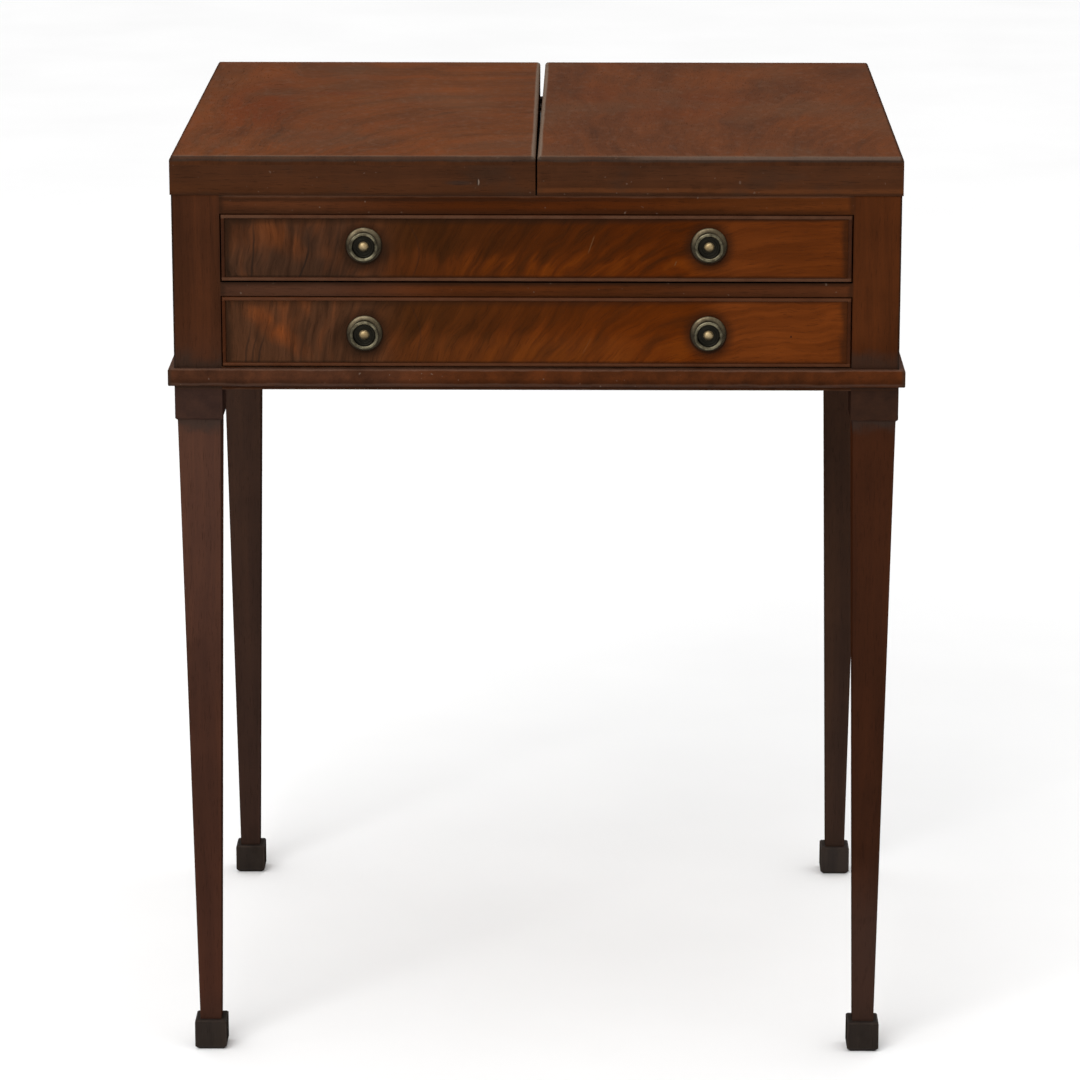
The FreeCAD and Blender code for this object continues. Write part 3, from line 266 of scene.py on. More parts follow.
# Wood: a figure along a grain, its colours and the wax over it
class Wood(Shade):
    def pores(self, point):
        return self.fade(self.grain(point, (85.0, 1500.0, 1500.0), 1.0, 0.5), 0.62, 0.72)

    def figure(self, point, bands=55.0, band=0.4, curl=0.12, wander=0.016, lengthwise=2.2):
        """The grain runs along the first axis of the point"""
        fibre = 0.14
        drift = self.grain(point, (1.9, 6.5, 6.5), 2.0, 0.55)
        along, across, through = self.split(point)
        moved = self.swing(drift, wander * 2)
        warped = self.join(along, self.add(across, moved), self.add(through, moved))
        growth = self.grain(warped, (lengthwise, bands, bands), 2.0, 0.55)
        self.thread = self.grain(warped, (9.0, 420.0, 420.0), 2.0, 0.6)
        ripple = self.grain(point, (26.0, 5.72, 5.72), 2.0, 0.5)
        self.blotch = self.grain(point, (7.0, 13.0, 13.0), 3.0, 0.6)
        self.pore = self.pores(point)
        tone = self.add(self.mul(growth, band), self.mul(self.thread, fibre))
        tone = self.add(tone, self.mul(ripple, curl))
        self.tone = self.add(tone, self.mul(self.blotch, 1.0 - band - fibre - curl))

    def wood(self, colour, contrast, spread=0.16):
        """Dark, middle and light shades about one linear colour, along the tone"""
        dark = tuple(c * (1 - contrast) * t for c, t in zip(colour, (0.96, 1.02, 1.12)))
        light = tuple(c * (1 + contrast) * t for c, t in zip(colour, (1.06, 1.0, 0.9)))
        clear = self.fade_linear(self.tone, 0.5 - spread, 0.5 + spread)
        return self.ramp(clear, ((0.0, dark), (0.5, colour), (1.0, light)))

    def wax(self, colour, gap=None, wear=0.35, worn=WORN_WOOD, rough=0.44, specular=0.06, grime=0.3,
            specks=0.0, depth=0.0001):
        """Pores, dirt, worn arrises and small dents under a dull wax"""
        patches = self.cloud(60.0, 3.0, 0.6)
        dirt = self.fade(self.cloud(24.0, 4.0, 0.6, (3.1, 5.7, 1.3)), 0.58, 0.78)
        shadowed = self.sub(1.0, self.mul(self.pore, 0.3))
        shadowed = self.mul(shadowed, self.sub(1.0, self.mul(dirt, grime)))
        colour = self.scale_colour(colour, shadowed)
        if gap is not None:
            edge = self.fade(self.add(gap, self.swing(patches, 0.0034)), 0.0015, 0.0001)
            colour = self.stain(colour, edge, wear, worn)
        if specks:
            dots = self.fade(self.cloud(230.0, 1.0, 0.4, (7.0, 2.0, 4.0)), 0.735, 0.775)
            colour = self.stain(colour, dots, specks, PALE_SPECK)
        gloss = self.add(rough, self.swing(self.blotch, 0.24))
        gloss = self.add(gloss, self.mul(self.pore, 0.16))
        dents = self.fade(self.cloud(150.0, 2.0, 0.5), 0.28, 0.19)
        height = self.add(self.mul(self.thread, 0.3), self.mul(self.pore, -0.7))
        height = self.add(height, self.mul(dents, -0.9))
        height = self.add(height, self.mul(patches, 0.5))
        # Faces seen edge-on get no sheen, or they show as pale lines
        edge_on = self.node("ShaderNodeLayerWeight").outputs["Facing"]
        sheen = self.fade(edge_on, 0.865, 0.91, specular, 0.0)
        return self.finish(colour, gloss, height, depth, sheen, tint=WAX_TINT)


def seeded_shift(seed):
    spots = random.Random(seed)
    return tuple(spots.uniform(-9, 9) for _ in range(3))


def dress(name, material):
    for slot in nodes[name].material_slots:
        slot.material = material


# How far a place is from the nearest arris of a box
def arris_gap(s, low, high):
    gaps = []
    for value, a, b in zip((s.x, s.y, s.z), low, high):
        gaps.append(s.least(s.sub(value, a), s.sub(b, value)))
    small = s.least(gaps[0], gaps[1])
    large = s.most(gaps[0], gaps[1])
    return s.most(small, s.least(large, gaps[2]))


def grain_point(s, axis, seed):
    order = {"x": (s.x, s.y, s.z), "y": (s.y, s.x, s.z), "z": (s.z, s.x, s.y)}[axis]
    return s.placed(*order, seed)


# For strips round the case, whose grain turns each corner with them
def corner_point(s, seed):
    return s.placed(s.add(s.x, s.y), s.z, s.sub(s.x, s.y), seed)


# A grain that turns as it goes along u: turns lists places and degrees
SWEEP_STEPS, CURVE_PARTS, LEAST_TOP = 400, 16, 1e-6


def swept_angle(turns, here):
    for (a, start), (b, end) in zip(turns, turns[1:]):
        if here <= b or b == turns[-1][0]:
            part = (here - a) / (b - a)
            part = part * part * (3 - 2 * part)
            return math.radians(start + (end - start) * part)


def swept_point(s, u, v, through, turns, seed):
    low, high = turns[0][0], turns[-1][0]
    span = high - low
    angles = [swept_angle(turns, low + span * step / SWEEP_STEPS) for step in range(SWEEP_STEPS + 1)]
    sines = [math.sin(angle) for angle in angles]
    cosines = [math.cos(angle) for angle in angles]
    place = s.fade_linear(u, low, high)

    def run_up(values):
        sums = [0.0]
        for a, b in zip(values, values[1:]):
            sums.append(sums[-1] + (a + b) / 2 * span / SWEEP_STEPS)
        return sums

    def table(values):
        top = max(max(values), LEAST_TOP)
        picks = range(0, SWEEP_STEPS + 1, SWEEP_STEPS // CURVE_PARTS)
        return s.mul(s.curve(place, [(p / SWEEP_STEPS, values[p] / top) for p in picks]), top)

    across = s.sub(s.mul(v, table(cosines)), table(run_up(sines)))
    along = s.add(s.mul(v, table(sines)), table(run_up(cosines)))
    return s.placed(along, across, through, seed)


# Pieces with a straight grain: name, grain direction, linear colour, contrast
RUNNERS = [(level + "_runner_" + side, "y", (0.205, 0.12, 0.062), 0.3)
           for level in ("lower", "upper") for side in ("left", "right")]
PLAIN = (
    ("side_panel_left", "y", (0.042, 0.0128, 0.0046), 0.42),
    ("side_panel_right", "y", (0.045, 0.013, 0.0044), 0.42),
    ("back_panel", "x", (0.052, 0.021, 0.0105), 0.4),
    ("bottom_rail", "x", (0.036, 0.011, 0.004), 0.35),
    *RUNNERS,
    ("drawer_stops", "x", (0.18, 0.11, 0.06), 0.3),
    ("well_front_rail", "x", (0.09, 0.03, 0.0125), 0.36),
    ("well_floor", "x", (0.1, 0.035, 0.015), 0.36),
    ("well_divider_left", "y", (0.096, 0.032, 0.0135), 0.36),
    ("well_divider_right", "y", (0.09, 0.03, 0.013), 0.36),
    ("well_cross_dividers", "x", (0.094, 0.031, 0.013), 0.36),
    ("mirror_backboard", "y", (0.2, 0.125, 0.065), 0.3),
    ("mirror_strut", "y", (0.092, 0.031, 0.013), 0.36),
    ("mirror_ratchet", "y", (0.085, 0.028, 0.0115), 0.36),
    ("upper_drawer_side_left", "y", (0.22, 0.13, 0.066), 0.3),
    ("upper_drawer_side_right", "y", (0.21, 0.125, 0.064), 0.3),
    ("lower_drawer_side_left", "y", (0.215, 0.126, 0.064), 0.3),
    ("lower_drawer_side_right", "y", (0.222, 0.132, 0.068), 0.3),
    ("upper_drawer_back", "x", (0.205, 0.12, 0.062), 0.3),
    ("lower_drawer_back", "x", (0.2, 0.116, 0.06), 0.3),
    ("upper_drawer_bottom", "x", (0.238, 0.143, 0.072), 0.26),
    ("lower_drawer_bottom", "x", (0.232, 0.139, 0.07), 0.26),
)
LINING_RED = 0.15


# A lining has more than LINING_RED in its red, and no polish
def plain_wood(name, axis, colour, contrast, seed):
    s = Wood("wood_" + name)
    s.figure(grain_point(s, axis, seed))
    lining = colour[0] > LINING_RED
    return s.wax(s.wood(colour, contrast), arris_gap(s, *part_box(name)),
                 worn=WORN_LINING if lining else WORN_WOOD, rough=0.62 if lining else 0.44, grime=0.35)


for order, (name, grain, colour, contrast) in enumerate(PLAIN):
    dress(name, plain_wood(name, grain, colour, contrast, order + 1))


# Legs: linear colours of the post beside the drawers, and of the taper's upper and lower end; the rear
# legs' taper colours are darker as painted shade
LEGS = {
    "front_left": ((0.0394, 0.0124, 0.0049), (0.0507, 0.0222, 0.015), (0.05, 0.018, 0.0108)),
    "front_right": ((0.059, 0.0151, 0.0036), (0.036, 0.0104, 0.004), (0.034, 0.0115, 0.0058)),
    "rear_left": ((0.0394, 0.0122, 0.0047), (0.03, 0.0158, 0.011), (0.035, 0.0175, 0.0125)),
    "rear_right": ((0.045, 0.013, 0.0044), (0.03, 0.014, 0.0085), (0.034, 0.0183, 0.013)),
}


def taper_paint(s, name, upper, lower):
    paint = s.mix(s.fade_linear(s.z, 0.56, 0.08), s.wood(upper, 0.3), s.wood(lower, 0.3))
    waist = s.stripe(s.z, 0.25, 0.19, 0.04)
    paint = s.darken(paint, waist, 0.22 if name.startswith("front") else 0.02)
    if name == "front_right":
        paint = s.stain(paint, s.fade(s.z, 0.19, 0.1), 0.7, (0.036, 0.0195, 0.015))
    return paint


def post_paint(s, name, post):
    paint = s.wood(post, 0.42, 0.13)
    if name == "front_right":
        paint = s.scale_colour(paint, s.fade(s.z, 0.625, 0.665, 0.74, 1.0))
    if name == "front_left":
        paint = s.stain(paint, s.fade(s.z, 0.665, 0.625), 0.35, (0.04, 0.016, 0.009))
    return paint


def leg_wood(name, post, upper, lower, seed):
    s = Wood("wood_leg_" + name)
    s.figure(grain_point(s, "z", seed), bands=48.0, wander=0.026, lengthwise=3.2)
    front = name.startswith("front")
    paint = s.mix(s.fade(s.z, CASE_BASE + 0.0005, CASE_BASE + 0.002),
                  taper_paint(s, name, upper, lower), post_paint(s, name, post))
    on_post = s.fade(s.z, CASE_BASE, CASE_BASE + 0.002)
    if front:
        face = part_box("leg_" + name)[0][1]
        on_face = s.mul(on_post, s.fade(s.y, face + 0.0025, face + 0.0005))
        wide = s.size_of(s.x)
        # A painted dark line of shade along the front posts' outer arris, and a fainter dark line at
        # their inner edge
        outer = s.mul(s.fade(wide, CASE_HALF - 0.0024, CASE_HALF - 0.0004), on_face)
        inner = s.mul(s.fade(wide, POST_INSIDE + 0.002, POST_INSIDE + 0.0004), on_face)
        paint = s.mix(s.most(s.mul(outer, 0.8), s.mul(inner, 0.2)), paint, (0.006, 0.004, 0.003))
    collar_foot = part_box("leg_collars")[0][2]
    ragged = s.add(s.z, s.swing(s.cloud(45.0, 3.0, 0.6), 0.03))
    # A ragged dark band just under the collar: painted shade, with dirt
    under_collar_shade_and_dirt = s.fade(ragged, collar_foot - 0.013, collar_foot - 0.001)
    under_collar_shade_and_dirt = s.mul(under_collar_shade_and_dirt, s.fade(s.z, collar_foot + 0.002, collar_foot))
    paint = s.stain(paint, under_collar_shade_and_dirt, 0.7, (0.024, 0.018, 0.015))
    if front:
        post_dirt = s.mul(s.fade(ragged, 0.638, 0.622), on_post)
        paint = s.stain(paint, post_dirt, 0.6, (0.021, 0.015, 0.0115))
    paint = s.stain(paint, s.fade(s.z, 0.06, 0.026), 0.35, (0.02, 0.013, 0.01))
    return s.wax(paint, grime=0.22, rough=0.5)


for order, (name, (post, upper, lower)) in enumerate(LEGS.items()):
    dress("leg_" + name, leg_wood(name, post, upper, lower, 40 + order))


def foot_wood(name, seed):
    s = Wood("wood_foot_" + name)
    s.figure(grain_point(s, "z", seed))
    base = (0.029, 0.0228, 0.02) if name == "rear_right" else (0.0215, 0.0168, 0.0142)
    return s.wax(s.wood(base, 0.4), arris_gap(s, *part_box("foot_" + name)),
                 worn=(0.055, 0.042, 0.035), rough=0.55, grime=0.4)


for order, name in enumerate(LEGS):
    dress("foot_" + name, foot_wood(name, 60 + order))


def collar_wood():
    s = Wood("wood_collars")
    s.figure(corner_point(s, 71), bands=70.0)
    left = s.wood((0.0279, 0.0139, 0.0105), 0.35)
    right = s.wood((0.0222, 0.0101, 0.0065), 0.35)
    return s.wax(s.mix(s.fade(s.x, -0.1, 0.1), left, right), rough=0.5, grime=0.4)


dress("leg_collars", collar_wood())


# Front rails: greyer at the left, with dirt along the joints, painted shadow under what stands proud,
# painted shade along the lower edge, and painted highlights on the frieze
def rail_wood(name, left, middle, right, top_shadow, low_shade, groove, seed):
    s = Wood("wood_" + name)
    low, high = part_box(name)
    s.figure(grain_point(s, "x", seed), bands=80.0)
    paint = s.mix(s.fade(s.x, -0.2, -0.06), s.wood(left, 0.4), s.wood(middle, 0.4))
    paint = s.mix(s.fade(s.x, 0.06, 0.2), paint, s.wood(right, 0.42))
    ragged = s.swing(s.cloud((34.0, 34.0, 90.0), 3.0, 0.6, seeded_shift(seed + 1)), 0.003)
    down = s.add(s.sub(high[2], s.z), ragged)
    up = s.add(s.sub(s.z, low[2]), ragged)
    end = s.add(s.sub(POST_INSIDE, s.size_of(s.x)), s.mul(ragged, 1.5))
    # Painted shadow under the bead along the top, painted shade along the lower edge, and dark joints at
    # the ends
    dark = s.most(s.mul(s.fade(down, 0.0046, 0.0002), top_shadow),
                  s.mul(s.fade(up, 0.0062, 0.001), low_shade))
    dark = s.most(dark, s.mul(s.fade(end, 0.0066, 0.0016), 0.55))
    if groove:
        line = s.stripe(down, 0.0038, 0.0024, 0.0004)
        dark = s.most(dark, s.mul(s.mul(line, s.fade(s.x, 0.12, 0.02)), groove))
        # A painted highlight along the top arris, and a brighter painted band across the middle of the
        # frieze
        top_highlight = s.fade(down, 0.0024, 0.001)
        paint = s.stain(paint, top_highlight, 0.32, (0.09, 0.05, 0.032))
        middle_highlight = s.stripe(down, 0.0095, 0.006, 0.001)
        paint = s.scale_colour(paint, s.add(1.0, s.mul(middle_highlight, 0.16)))
    return s.wax(s.mix(dark, paint, (0.01, 0.0048, 0.0026)), specks=0.25)


dress("frieze_rail", rail_wood(
    "frieze_rail", left=(0.045, 0.014, 0.005), middle=(0.0405, 0.0086, 0.001),
    right=(0.066, 0.0165, 0.003), top_shadow=0.0, low_shade=0.42, groove=0.45, seed=81))
dress("mid_rail", rail_wood(
    "mid_rail", left=(0.047, 0.0186, 0.01), middle=(0.056, 0.0138, 0.0028),
    right=(0.054, 0.0155, 0.005), top_shadow=0.72, low_shade=0.1, groove=0.0, seed=84))


# Cockbeads and base moulding: a light arris over the plain wood as a painted highlight, and painted shade
# on their darker parts
def bead_wood(name, colour, line, seed):
    s = Wood("wood_" + name)
    low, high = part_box(name)
    s.figure(s.placed(s.add(s.x, s.z), s.y, s.sub(s.x, s.z), seed), bands=90.0)
    patch = s.cloud(42.0, 3.0, 0.6)
    edge = s.least(s.sub(s.z, low[2]), s.sub(high[2], s.z))
    level = s.fade(edge, 0.0034, 0.0028)
    # A painted highlight along the front of the top and bottom beads, in the line colour
    crest_highlight = s.mul(s.fade(s.y, low[1] + 0.001, low[1] + 0.0001), level)
    paint = s.mix(s.mul(crest_highlight, s.fade(patch, 0.3, 0.62, 0.5, 1.0)), s.wood(colour, 0.35), line)
    # Painted shade: the upright beads are darker than the level ones
    paint = s.scale_colour(paint, s.blend(level, 0.72, 1.0))
    return s.wax(paint, rough=0.4, specular=0.08)


dress("upper_cockbead", bead_wood(
    "upper_cockbead", colour=(0.04, 0.0125, 0.0052), line=(0.066, 0.029, 0.0155), seed=91))
dress("lower_cockbead", bead_wood(
    "lower_cockbead", colour=(0.046, 0.0125, 0.004), line=(0.062, 0.0225, 0.01), seed=92))


def moulding_wood():
    s = Wood("wood_base_moulding")
    low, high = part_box("base_moulding")
    s.figure(corner_point(s, 95), bands=75.0)
    paint = s.mix(s.fade(s.x, -0.16, -0.04), s.wood((0.052, 0.018, 0.0082), 0.46),
                  s.wood((0.0545, 0.014, 0.0034), 0.46))
    level = s.add(s.z, s.swing(s.cloud(38.0, 3.0, 0.65, (4.0, 0.0, 9.0)), 0.003))
    # Painted shade: the lower part of the moulding darker
    paint = s.scale_colour(paint, s.fade(level, low[2] + 0.003, low[2] + 0.0085, 0.58, 1.0))
    # Painted highlights along the lower and the top arris
    low_highlight = s.stripe(level, low[2] + 0.0018, 0.0016, 0.0003)
    paint = s.stain(paint, low_highlight, 0.45, (0.06, 0.036, 0.026))
    crest_highlight = s.fade(level, high[2] - 0.0016, high[2] - 0.0004)
    paint = s.stain(paint, crest_highlight, 0.65, (0.095, 0.05, 0.033))
    # A painted dark line of shade at the ends of the front
    end = s.mul(s.fade(s.size_of(s.x), 0.31, 0.313), s.fade(s.y, low[1] + 0.004, low[1] + 0.001))
    paint = s.stain(paint, end, 0.65, (0.023, 0.015, 0.01))
    return s.wax(paint, specks=0.3, specular=0.07)


dress("base_moulding", moulding_wood())


# Drawer fronts: flame veneer that stands upright at the left and lies down to the right
HIGH_LEFT, HIGH_RIGHT = (0.031, 0.0088, 0.0016), (0.052, 0.0096, 0.0002)
LOW_LEFT, LOW_RIGHT = (0.048, 0.0118, 0.002), (0.07, 0.0126, 0.0003)
CLEAR_DARK, CLEAR_LIGHT = (0.076, 0.0165, 0.0021), (0.09, 0.02, 0.0026)
TONGUE, DUSK = (0.094, 0.0195, 0.0008), (0.027, 0.0086, 0.0018)
GREY_LEFT, PLUME = (0.037, 0.016, 0.0082), (0.085, 0.0245, 0.007)
LOW_WARM, VEIN = (0.098, 0.03, 0.007), (0.013, 0.0075, 0.005)
SCRATCH, DOT = (0.11, 0.056, 0.023), (0.009, 0.005, 0.003)
# The dark of the drawers' dirt and painted shade
DRAWER_DIRT_AND_SHADE, DRAWER_BODY = (0.01, 0.005, 0.0026), (0.08, 0.032, 0.016)
DRAWER_TURNS = ((-0.27, 88), (-0.19, 84), (-0.1, 68), (0.0, 54), (0.07, 46), (0.13, 18), (0.19, 5),
                (0.27, 2))


def knob_level(drawer):
    low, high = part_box(drawer + "_drawer_knobs")
    return (low[2] + high[2]) / 2


def drawer_veneer(drawer, seed):
    name = drawer + "_drawer_front"
    s = Wood("veneer_" + name)
    s.drawer, s.seed = drawer, seed
    s.low, s.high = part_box(name)
    s.v = s.sub(s.z, (s.low[2] + s.high[2]) / 2)
    bends = s.bends = [s.sub(s.cloud(scale, 2.0, 0.5, seeded_shift(seed + step)), 0.5)
                       for step, scale in enumerate((13.0, 13.0, 48.0, 48.0))]
    u = s.add(s.x, s.add(s.mul(bends[0], 0.03), s.mul(bends[2], 0.006)))
    w = s.add(s.v, s.add(s.mul(bends[1], 0.018), s.mul(bends[3], 0.006)))
    point = swept_point(s, u, w, s.mul(s.y, 0.4), DRAWER_TURNS, seed + 4)
    s.flame = s.grain(point, (24.0, 88.0, 88.0), 2.0, 0.5)
    s.streak = s.grain(point, (13.0, 210.0, 210.0), 2.0, 0.55)
    s.thread = s.grain(point, (14.0, 560.0, 560.0), 2.0, 0.6)
    s.blotch = s.cloud((12.0, 12.0, 20.0), 2.0, 0.5, seeded_shift(seed + 5))
    s.pore = s.pores(point)
    s.calm = s.fade(s.add(s.x, s.mul(bends[0], 0.06)), 0.13, 0.172)
    s.upright = s.fade(s.add(s.x, s.mul(bends[1], 0.05)), -0.105, -0.15)
    return s


def middle_paint(s, high_lift, low_lift, drive, tip):
    """Dark above and warm below, with flames that reach up between"""
    across = s.fade_linear(s.x, -0.11, 0.09)
    above = s.scale_colour(s.mix(across, HIGH_LEFT, HIGH_RIGHT), high_lift)
    below = s.scale_colour(s.mix(across, LOW_LEFT, LOW_RIGHT), low_lift)
    glow = s.fade(s.sub(s.v, s.swing(s.flame, 0.06)), *tip)
    paint = s.mix(glow, above, below)
    low_flame = s.mul(s.fade(s.flame, 0.46, 0.6), s.mul(glow, s.fade(s.v, 0.006, -0.014)))
    in_middle = s.mul(s.fade(s.x, -0.1, -0.02), 0.6)
    paint = s.mix(s.mul(low_flame, in_middle), paint, TONGUE)
    return s.stain(paint, s.fade(s.flame, 0.47, 0.34), 0.3 * drive, DUSK)


def left_paint(s, place, reach, tilt):
    """Greyish wood with a reddish plume in it"""
    leaning = s.add(s.add(s.x, s.mul(s.bends[2], 0.02)), s.mul(s.v, tilt))
    feather = s.blob(leaning, s.v, place, reach, 0.1)
    mingled = s.add(s.mul(s.blotch, 0.5), s.mul(s.flame, 0.5))
    reddish = s.fade(s.add(mingled, s.mul(s.v, 2.5)), 0.42, 0.62)
    paint = s.mix(s.mul(reddish, 0.5), GREY_LEFT, PLUME)
    return s.mix(s.mul(feather, s.fade(s.flame, 0.36, 0.52, 0.45, 0.95)), paint, PLUME)


def own_area(s, paint):
    if s.drawer == "upper":
        far_left = s.mul(s.fade(s.x, -0.232, -0.25), s.fade(s.v, -0.004, 0.012))
        return s.darken(paint, far_left, 0.3)
    low_middle = s.mul(s.stripe(s.x, -0.02, 0.17, 0.06), s.fade(s.v, 0.004, -0.014))
    return s.stain(paint, low_middle, 0.22, LOW_WARM)


def figure_change(s, drive):
    """Light and dark of the figure, calmer at the right and livelier at the left"""
    weight = s.sub(1.0, s.mul(s.calm, 0.6))
    lively = s.add(weight, s.mul(s.upright, 0.6))
    flames = s.mul(s.mul(s.sub(s.flame, 0.5), lively), 0.7 * drive)
    streaks = s.mul(s.mul(s.sub(s.streak, 0.5), lively), 0.75)
    fine = s.add(s.swing(s.thread, 0.36), s.swing(s.blotch, 0.4))
    change = s.add(s.add(flames, streaks), fine)
    return s.sub(change, s.mul(s.blob(s.x, s.v, (-0.168, -0.012), (0.034, 0.026)), 0.2))


def draw_veins(s, paint, veins):
    """Thin dark lines: place, lean, bow, width, strength, and where they start and end"""
    sway = s.swing(s.noise(s.join(s.seed, 0.0, s.mul(s.z, 45.0)), 2.0, 0.5), 0.006)
    for place, lean, bow, width, strength, start, end in veins:
        path = s.add(s.add(s.mul(s.v, lean), s.mul(s.mul(s.v, s.v), bow)), place)
        off = s.add(s.sub(s.x, path), sway)
        line = s.mul(s.fade(s.size_of(off), width, 0.0002), s.fade(s.v, start, end, 0.25, 1.0))
        paint = s.stain(paint, line, strength, VEIN)
    return paint


def draw_marks(s, paint, marks):
    """Scratches and dots: place, lean, half height, half width, colour, strength"""
    for place, lean, tall, width, colour, strength in marks:
        off = s.sub(s.sub(s.x, place[0]), s.mul(s.sub(s.v, place[1]), lean))
        mark = s.mul(s.fade(s.size_of(off), width, width * 0.3),
                     s.stripe(s.v, place[1], tall, tall * 0.6))
        paint = s.stain(paint, mark, strength, colour)
    return paint


def drawer_dirt_and_shade(s, bead_shadow):
    """Dirt and painted shade round the knobs, a painted shadow at the plates' rim, darker corners, a
    painted shadow of the bead along the top and painted shade along the bottom
    """
    off_knob = s.math("POWER", s.sub(s.size_of(s.x), KNOB_X), 2.0)
    above_knob = s.math("POWER", s.sub(s.z, knob_level(s.drawer) - 0.0012), 2.0)
    knob = s.math("SQRT", s.add(off_knob, above_knob))
    halo = s.fade(knob, 0.0255, 0.015)
    plate_shadow = s.fade(knob, 0.0176, 0.0156)
    ragged = s.mul(s.sub(s.bends[3], -0.1), 0.01)
    end = s.least(s.sub(s.x, s.low[0] + BEAD_LAP), s.sub(s.high[0] - BEAD_LAP, s.x))
    corner = s.fade(s.add(end, ragged), 0.0088, 0.0032)
    half = (s.high[2] - s.low[2]) / 2 - BEAD_LAP
    narrow = s.blend(s.fade(s.x, 0.08, 0.15), 1.0, 2.0)
    top_edge = s.mul(s.sub(s.sub(half, s.v), s.mul(ragged, 0.2)), narrow)
    shade = s.most(s.mul(halo, 0.6), s.mul(plate_shadow, 0.88))
    shade = s.most(shade, s.mul(corner, 0.62))
    shade = s.most(shade, s.mul(s.fade(top_edge, 0.0066, 0.001), bead_shadow))
    return s.most(shade, s.mul(s.fade(s.add(half, s.v), 0.0024, 0.0006), 0.4))


def drawer_front_wood(drawer, seed, high_lift, low_lift, clear_lift, left_lift, drive, plume, tip, veins,
                      marks, bead_shadow):
    s = drawer_veneer(drawer, seed)
    paint = middle_paint(s, high_lift, low_lift, drive, tip)
    clear = s.mix(s.fade(s.streak, 0.36, 0.64), CLEAR_DARK, CLEAR_LIGHT)
    paint = s.mix(s.calm, paint, s.scale_colour(clear, clear_lift))
    paint = s.mix(s.upright, paint, s.stretch(left_paint(s, *plume), left_lift))
    paint = s.scale_colour(own_area(s, paint), s.add(1.0, figure_change(s, drive)))
    paint = draw_marks(s, draw_veins(s, paint, veins), marks)
    # Dirt, painted shade and painted shadow round the knobs, in the corners and along the beads
    paint = s.mix(drawer_dirt_and_shade(s, bead_shadow), paint, DRAWER_DIRT_AND_SHADE)
    s.tone = s.cloud((4.0, 60.0, 60.0), 2.0, 0.5)
    on_face = s.fade(s.y, s.low[1] + 0.0012, s.low[1] + 0.0008)
    return s.wax(s.mix(on_face, s.wood(DRAWER_BODY, 0.35), paint), rough=0.38, grime=0.12)


dress("upper_drawer_front", drawer_front_wood(
    "upper", seed=101, high_lift=0.98, low_lift=1.0, clear_lift=1.0, left_lift=(1.0, 1.0, 1.0), drive=1.0,
    plume=((-0.212, 0.008), (0.023, 0.026), 0.7), tip=(0.002, -0.018),
    veins=((-0.24, 0.07, 0.0, 0.0014, 0.8, 0.03, -0.005),
           (-0.1933, 0.1, -8.4, 0.0014, 0.9, 0.01, -0.01),
           (-0.262, 0.0, 0.0, 0.002, 0.45, 0.03, 0.0),
           (-0.1, -0.1, -12.0, 0.0012, 0.25, 0.03, 0.01)),
    marks=(((0.0465, 0.003), 0.35, 0.0085, 0.0006, SCRATCH, 0.55),
           ((0.118, -0.013), 0.4, 0.0022, 0.0007, SCRATCH, 0.6)),
    bead_shadow=0.62))
dress("lower_drawer_front", drawer_front_wood(
    "lower", seed=111, high_lift=1.3, low_lift=1.24, clear_lift=1.22, left_lift=(1.42, 1.27, 1.08),
    drive=0.78, plume=((-0.22, 0.002), (0.019, 0.031), 1.0), tip=(0.01, -0.014),
    veins=((-0.244, 0.14, 0.0, 0.0014, 0.6, 0.006, -0.01),
           (-0.2375, 0.18, 0.0, 0.0012, 0.55, 0.002, -0.012),
           (-0.231, 0.22, 0.0, 0.0014, 0.65, -0.002, -0.014),
           (-0.099, -0.12, -10.0, 0.0012, 0.25, 0.03, 0.01),
           (-0.196, 0.2, 0.0, 0.0016, 0.3, 0.02, 0.0)),
    marks=(((0.2166, -0.0037), 0.0, 0.0011, 0.0011, DOT, 0.8),
           ((0.043, -0.012), 0.5, 0.008, 0.0008, SCRATCH, 0.18)),
    bead_shadow=0.38))


# Lids: veneered tops with worn arrises, painted highlight and shade on their edges, and a deeper plain
# edge below
LID_RED, LID_GREY, LID_DUST = (0.108, 0.0228, 0.0034), (0.09, 0.04, 0.0185), (0.15, 0.085, 0.056)


def left_lid_areas(s, bend, wide, ribbon):
    """Red and dimmer areas of the left lid, and how grey its patches are"""
    glow = s.blob(s.x, s.y, (-0.252, 0.0), (0.056, 0.22), 0.2)
    s.tone = s.add(s.tone, s.mul(s.sub(ribbon, 0.54), s.mul(glow, 0.55)))
    spindle = s.blob(s.x, s.add(s.y, s.mul(bend, 0.02)), (-0.165, 0.078), (0.08, 0.02), 0.1)
    wisp = s.fade(s.add(ribbon, s.mul(wide, 0.5)), 0.72, 0.86)
    red = s.most(s.mul(spindle, 0.8), s.mul(glow, s.fade(ribbon, 0.38, 0.58, 0.35, 0.95)))
    red = s.most(red, s.mul(wisp, 0.3))
    dim = s.blob(s.x, s.y, (-0.215, -0.04), (0.07, 0.23), 0.1)
    dim = s.sub(dim, s.blob(s.x, s.y, (-0.07, 0.09), (0.07, 0.17), 0.1))
    return red, dim, s.sub(0.45, s.mul(s.fade(s.x, -0.11, -0.03), 0.16))


def right_lid_areas(s):
    """The same for the right lid"""
    red = s.most(s.blob(s.x, s.y, (0.13, 0.01), (0.09, 0.15)),
                 s.blob(s.x, s.y, (0.055, 0.06), (0.03, 0.12)))
    dim = s.mul(s.blob(s.x, s.y, (0.24, 0.2), (0.08, 0.09), 0.1), -0.8)
    return s.mul(red, 0.34), dim, 0.45


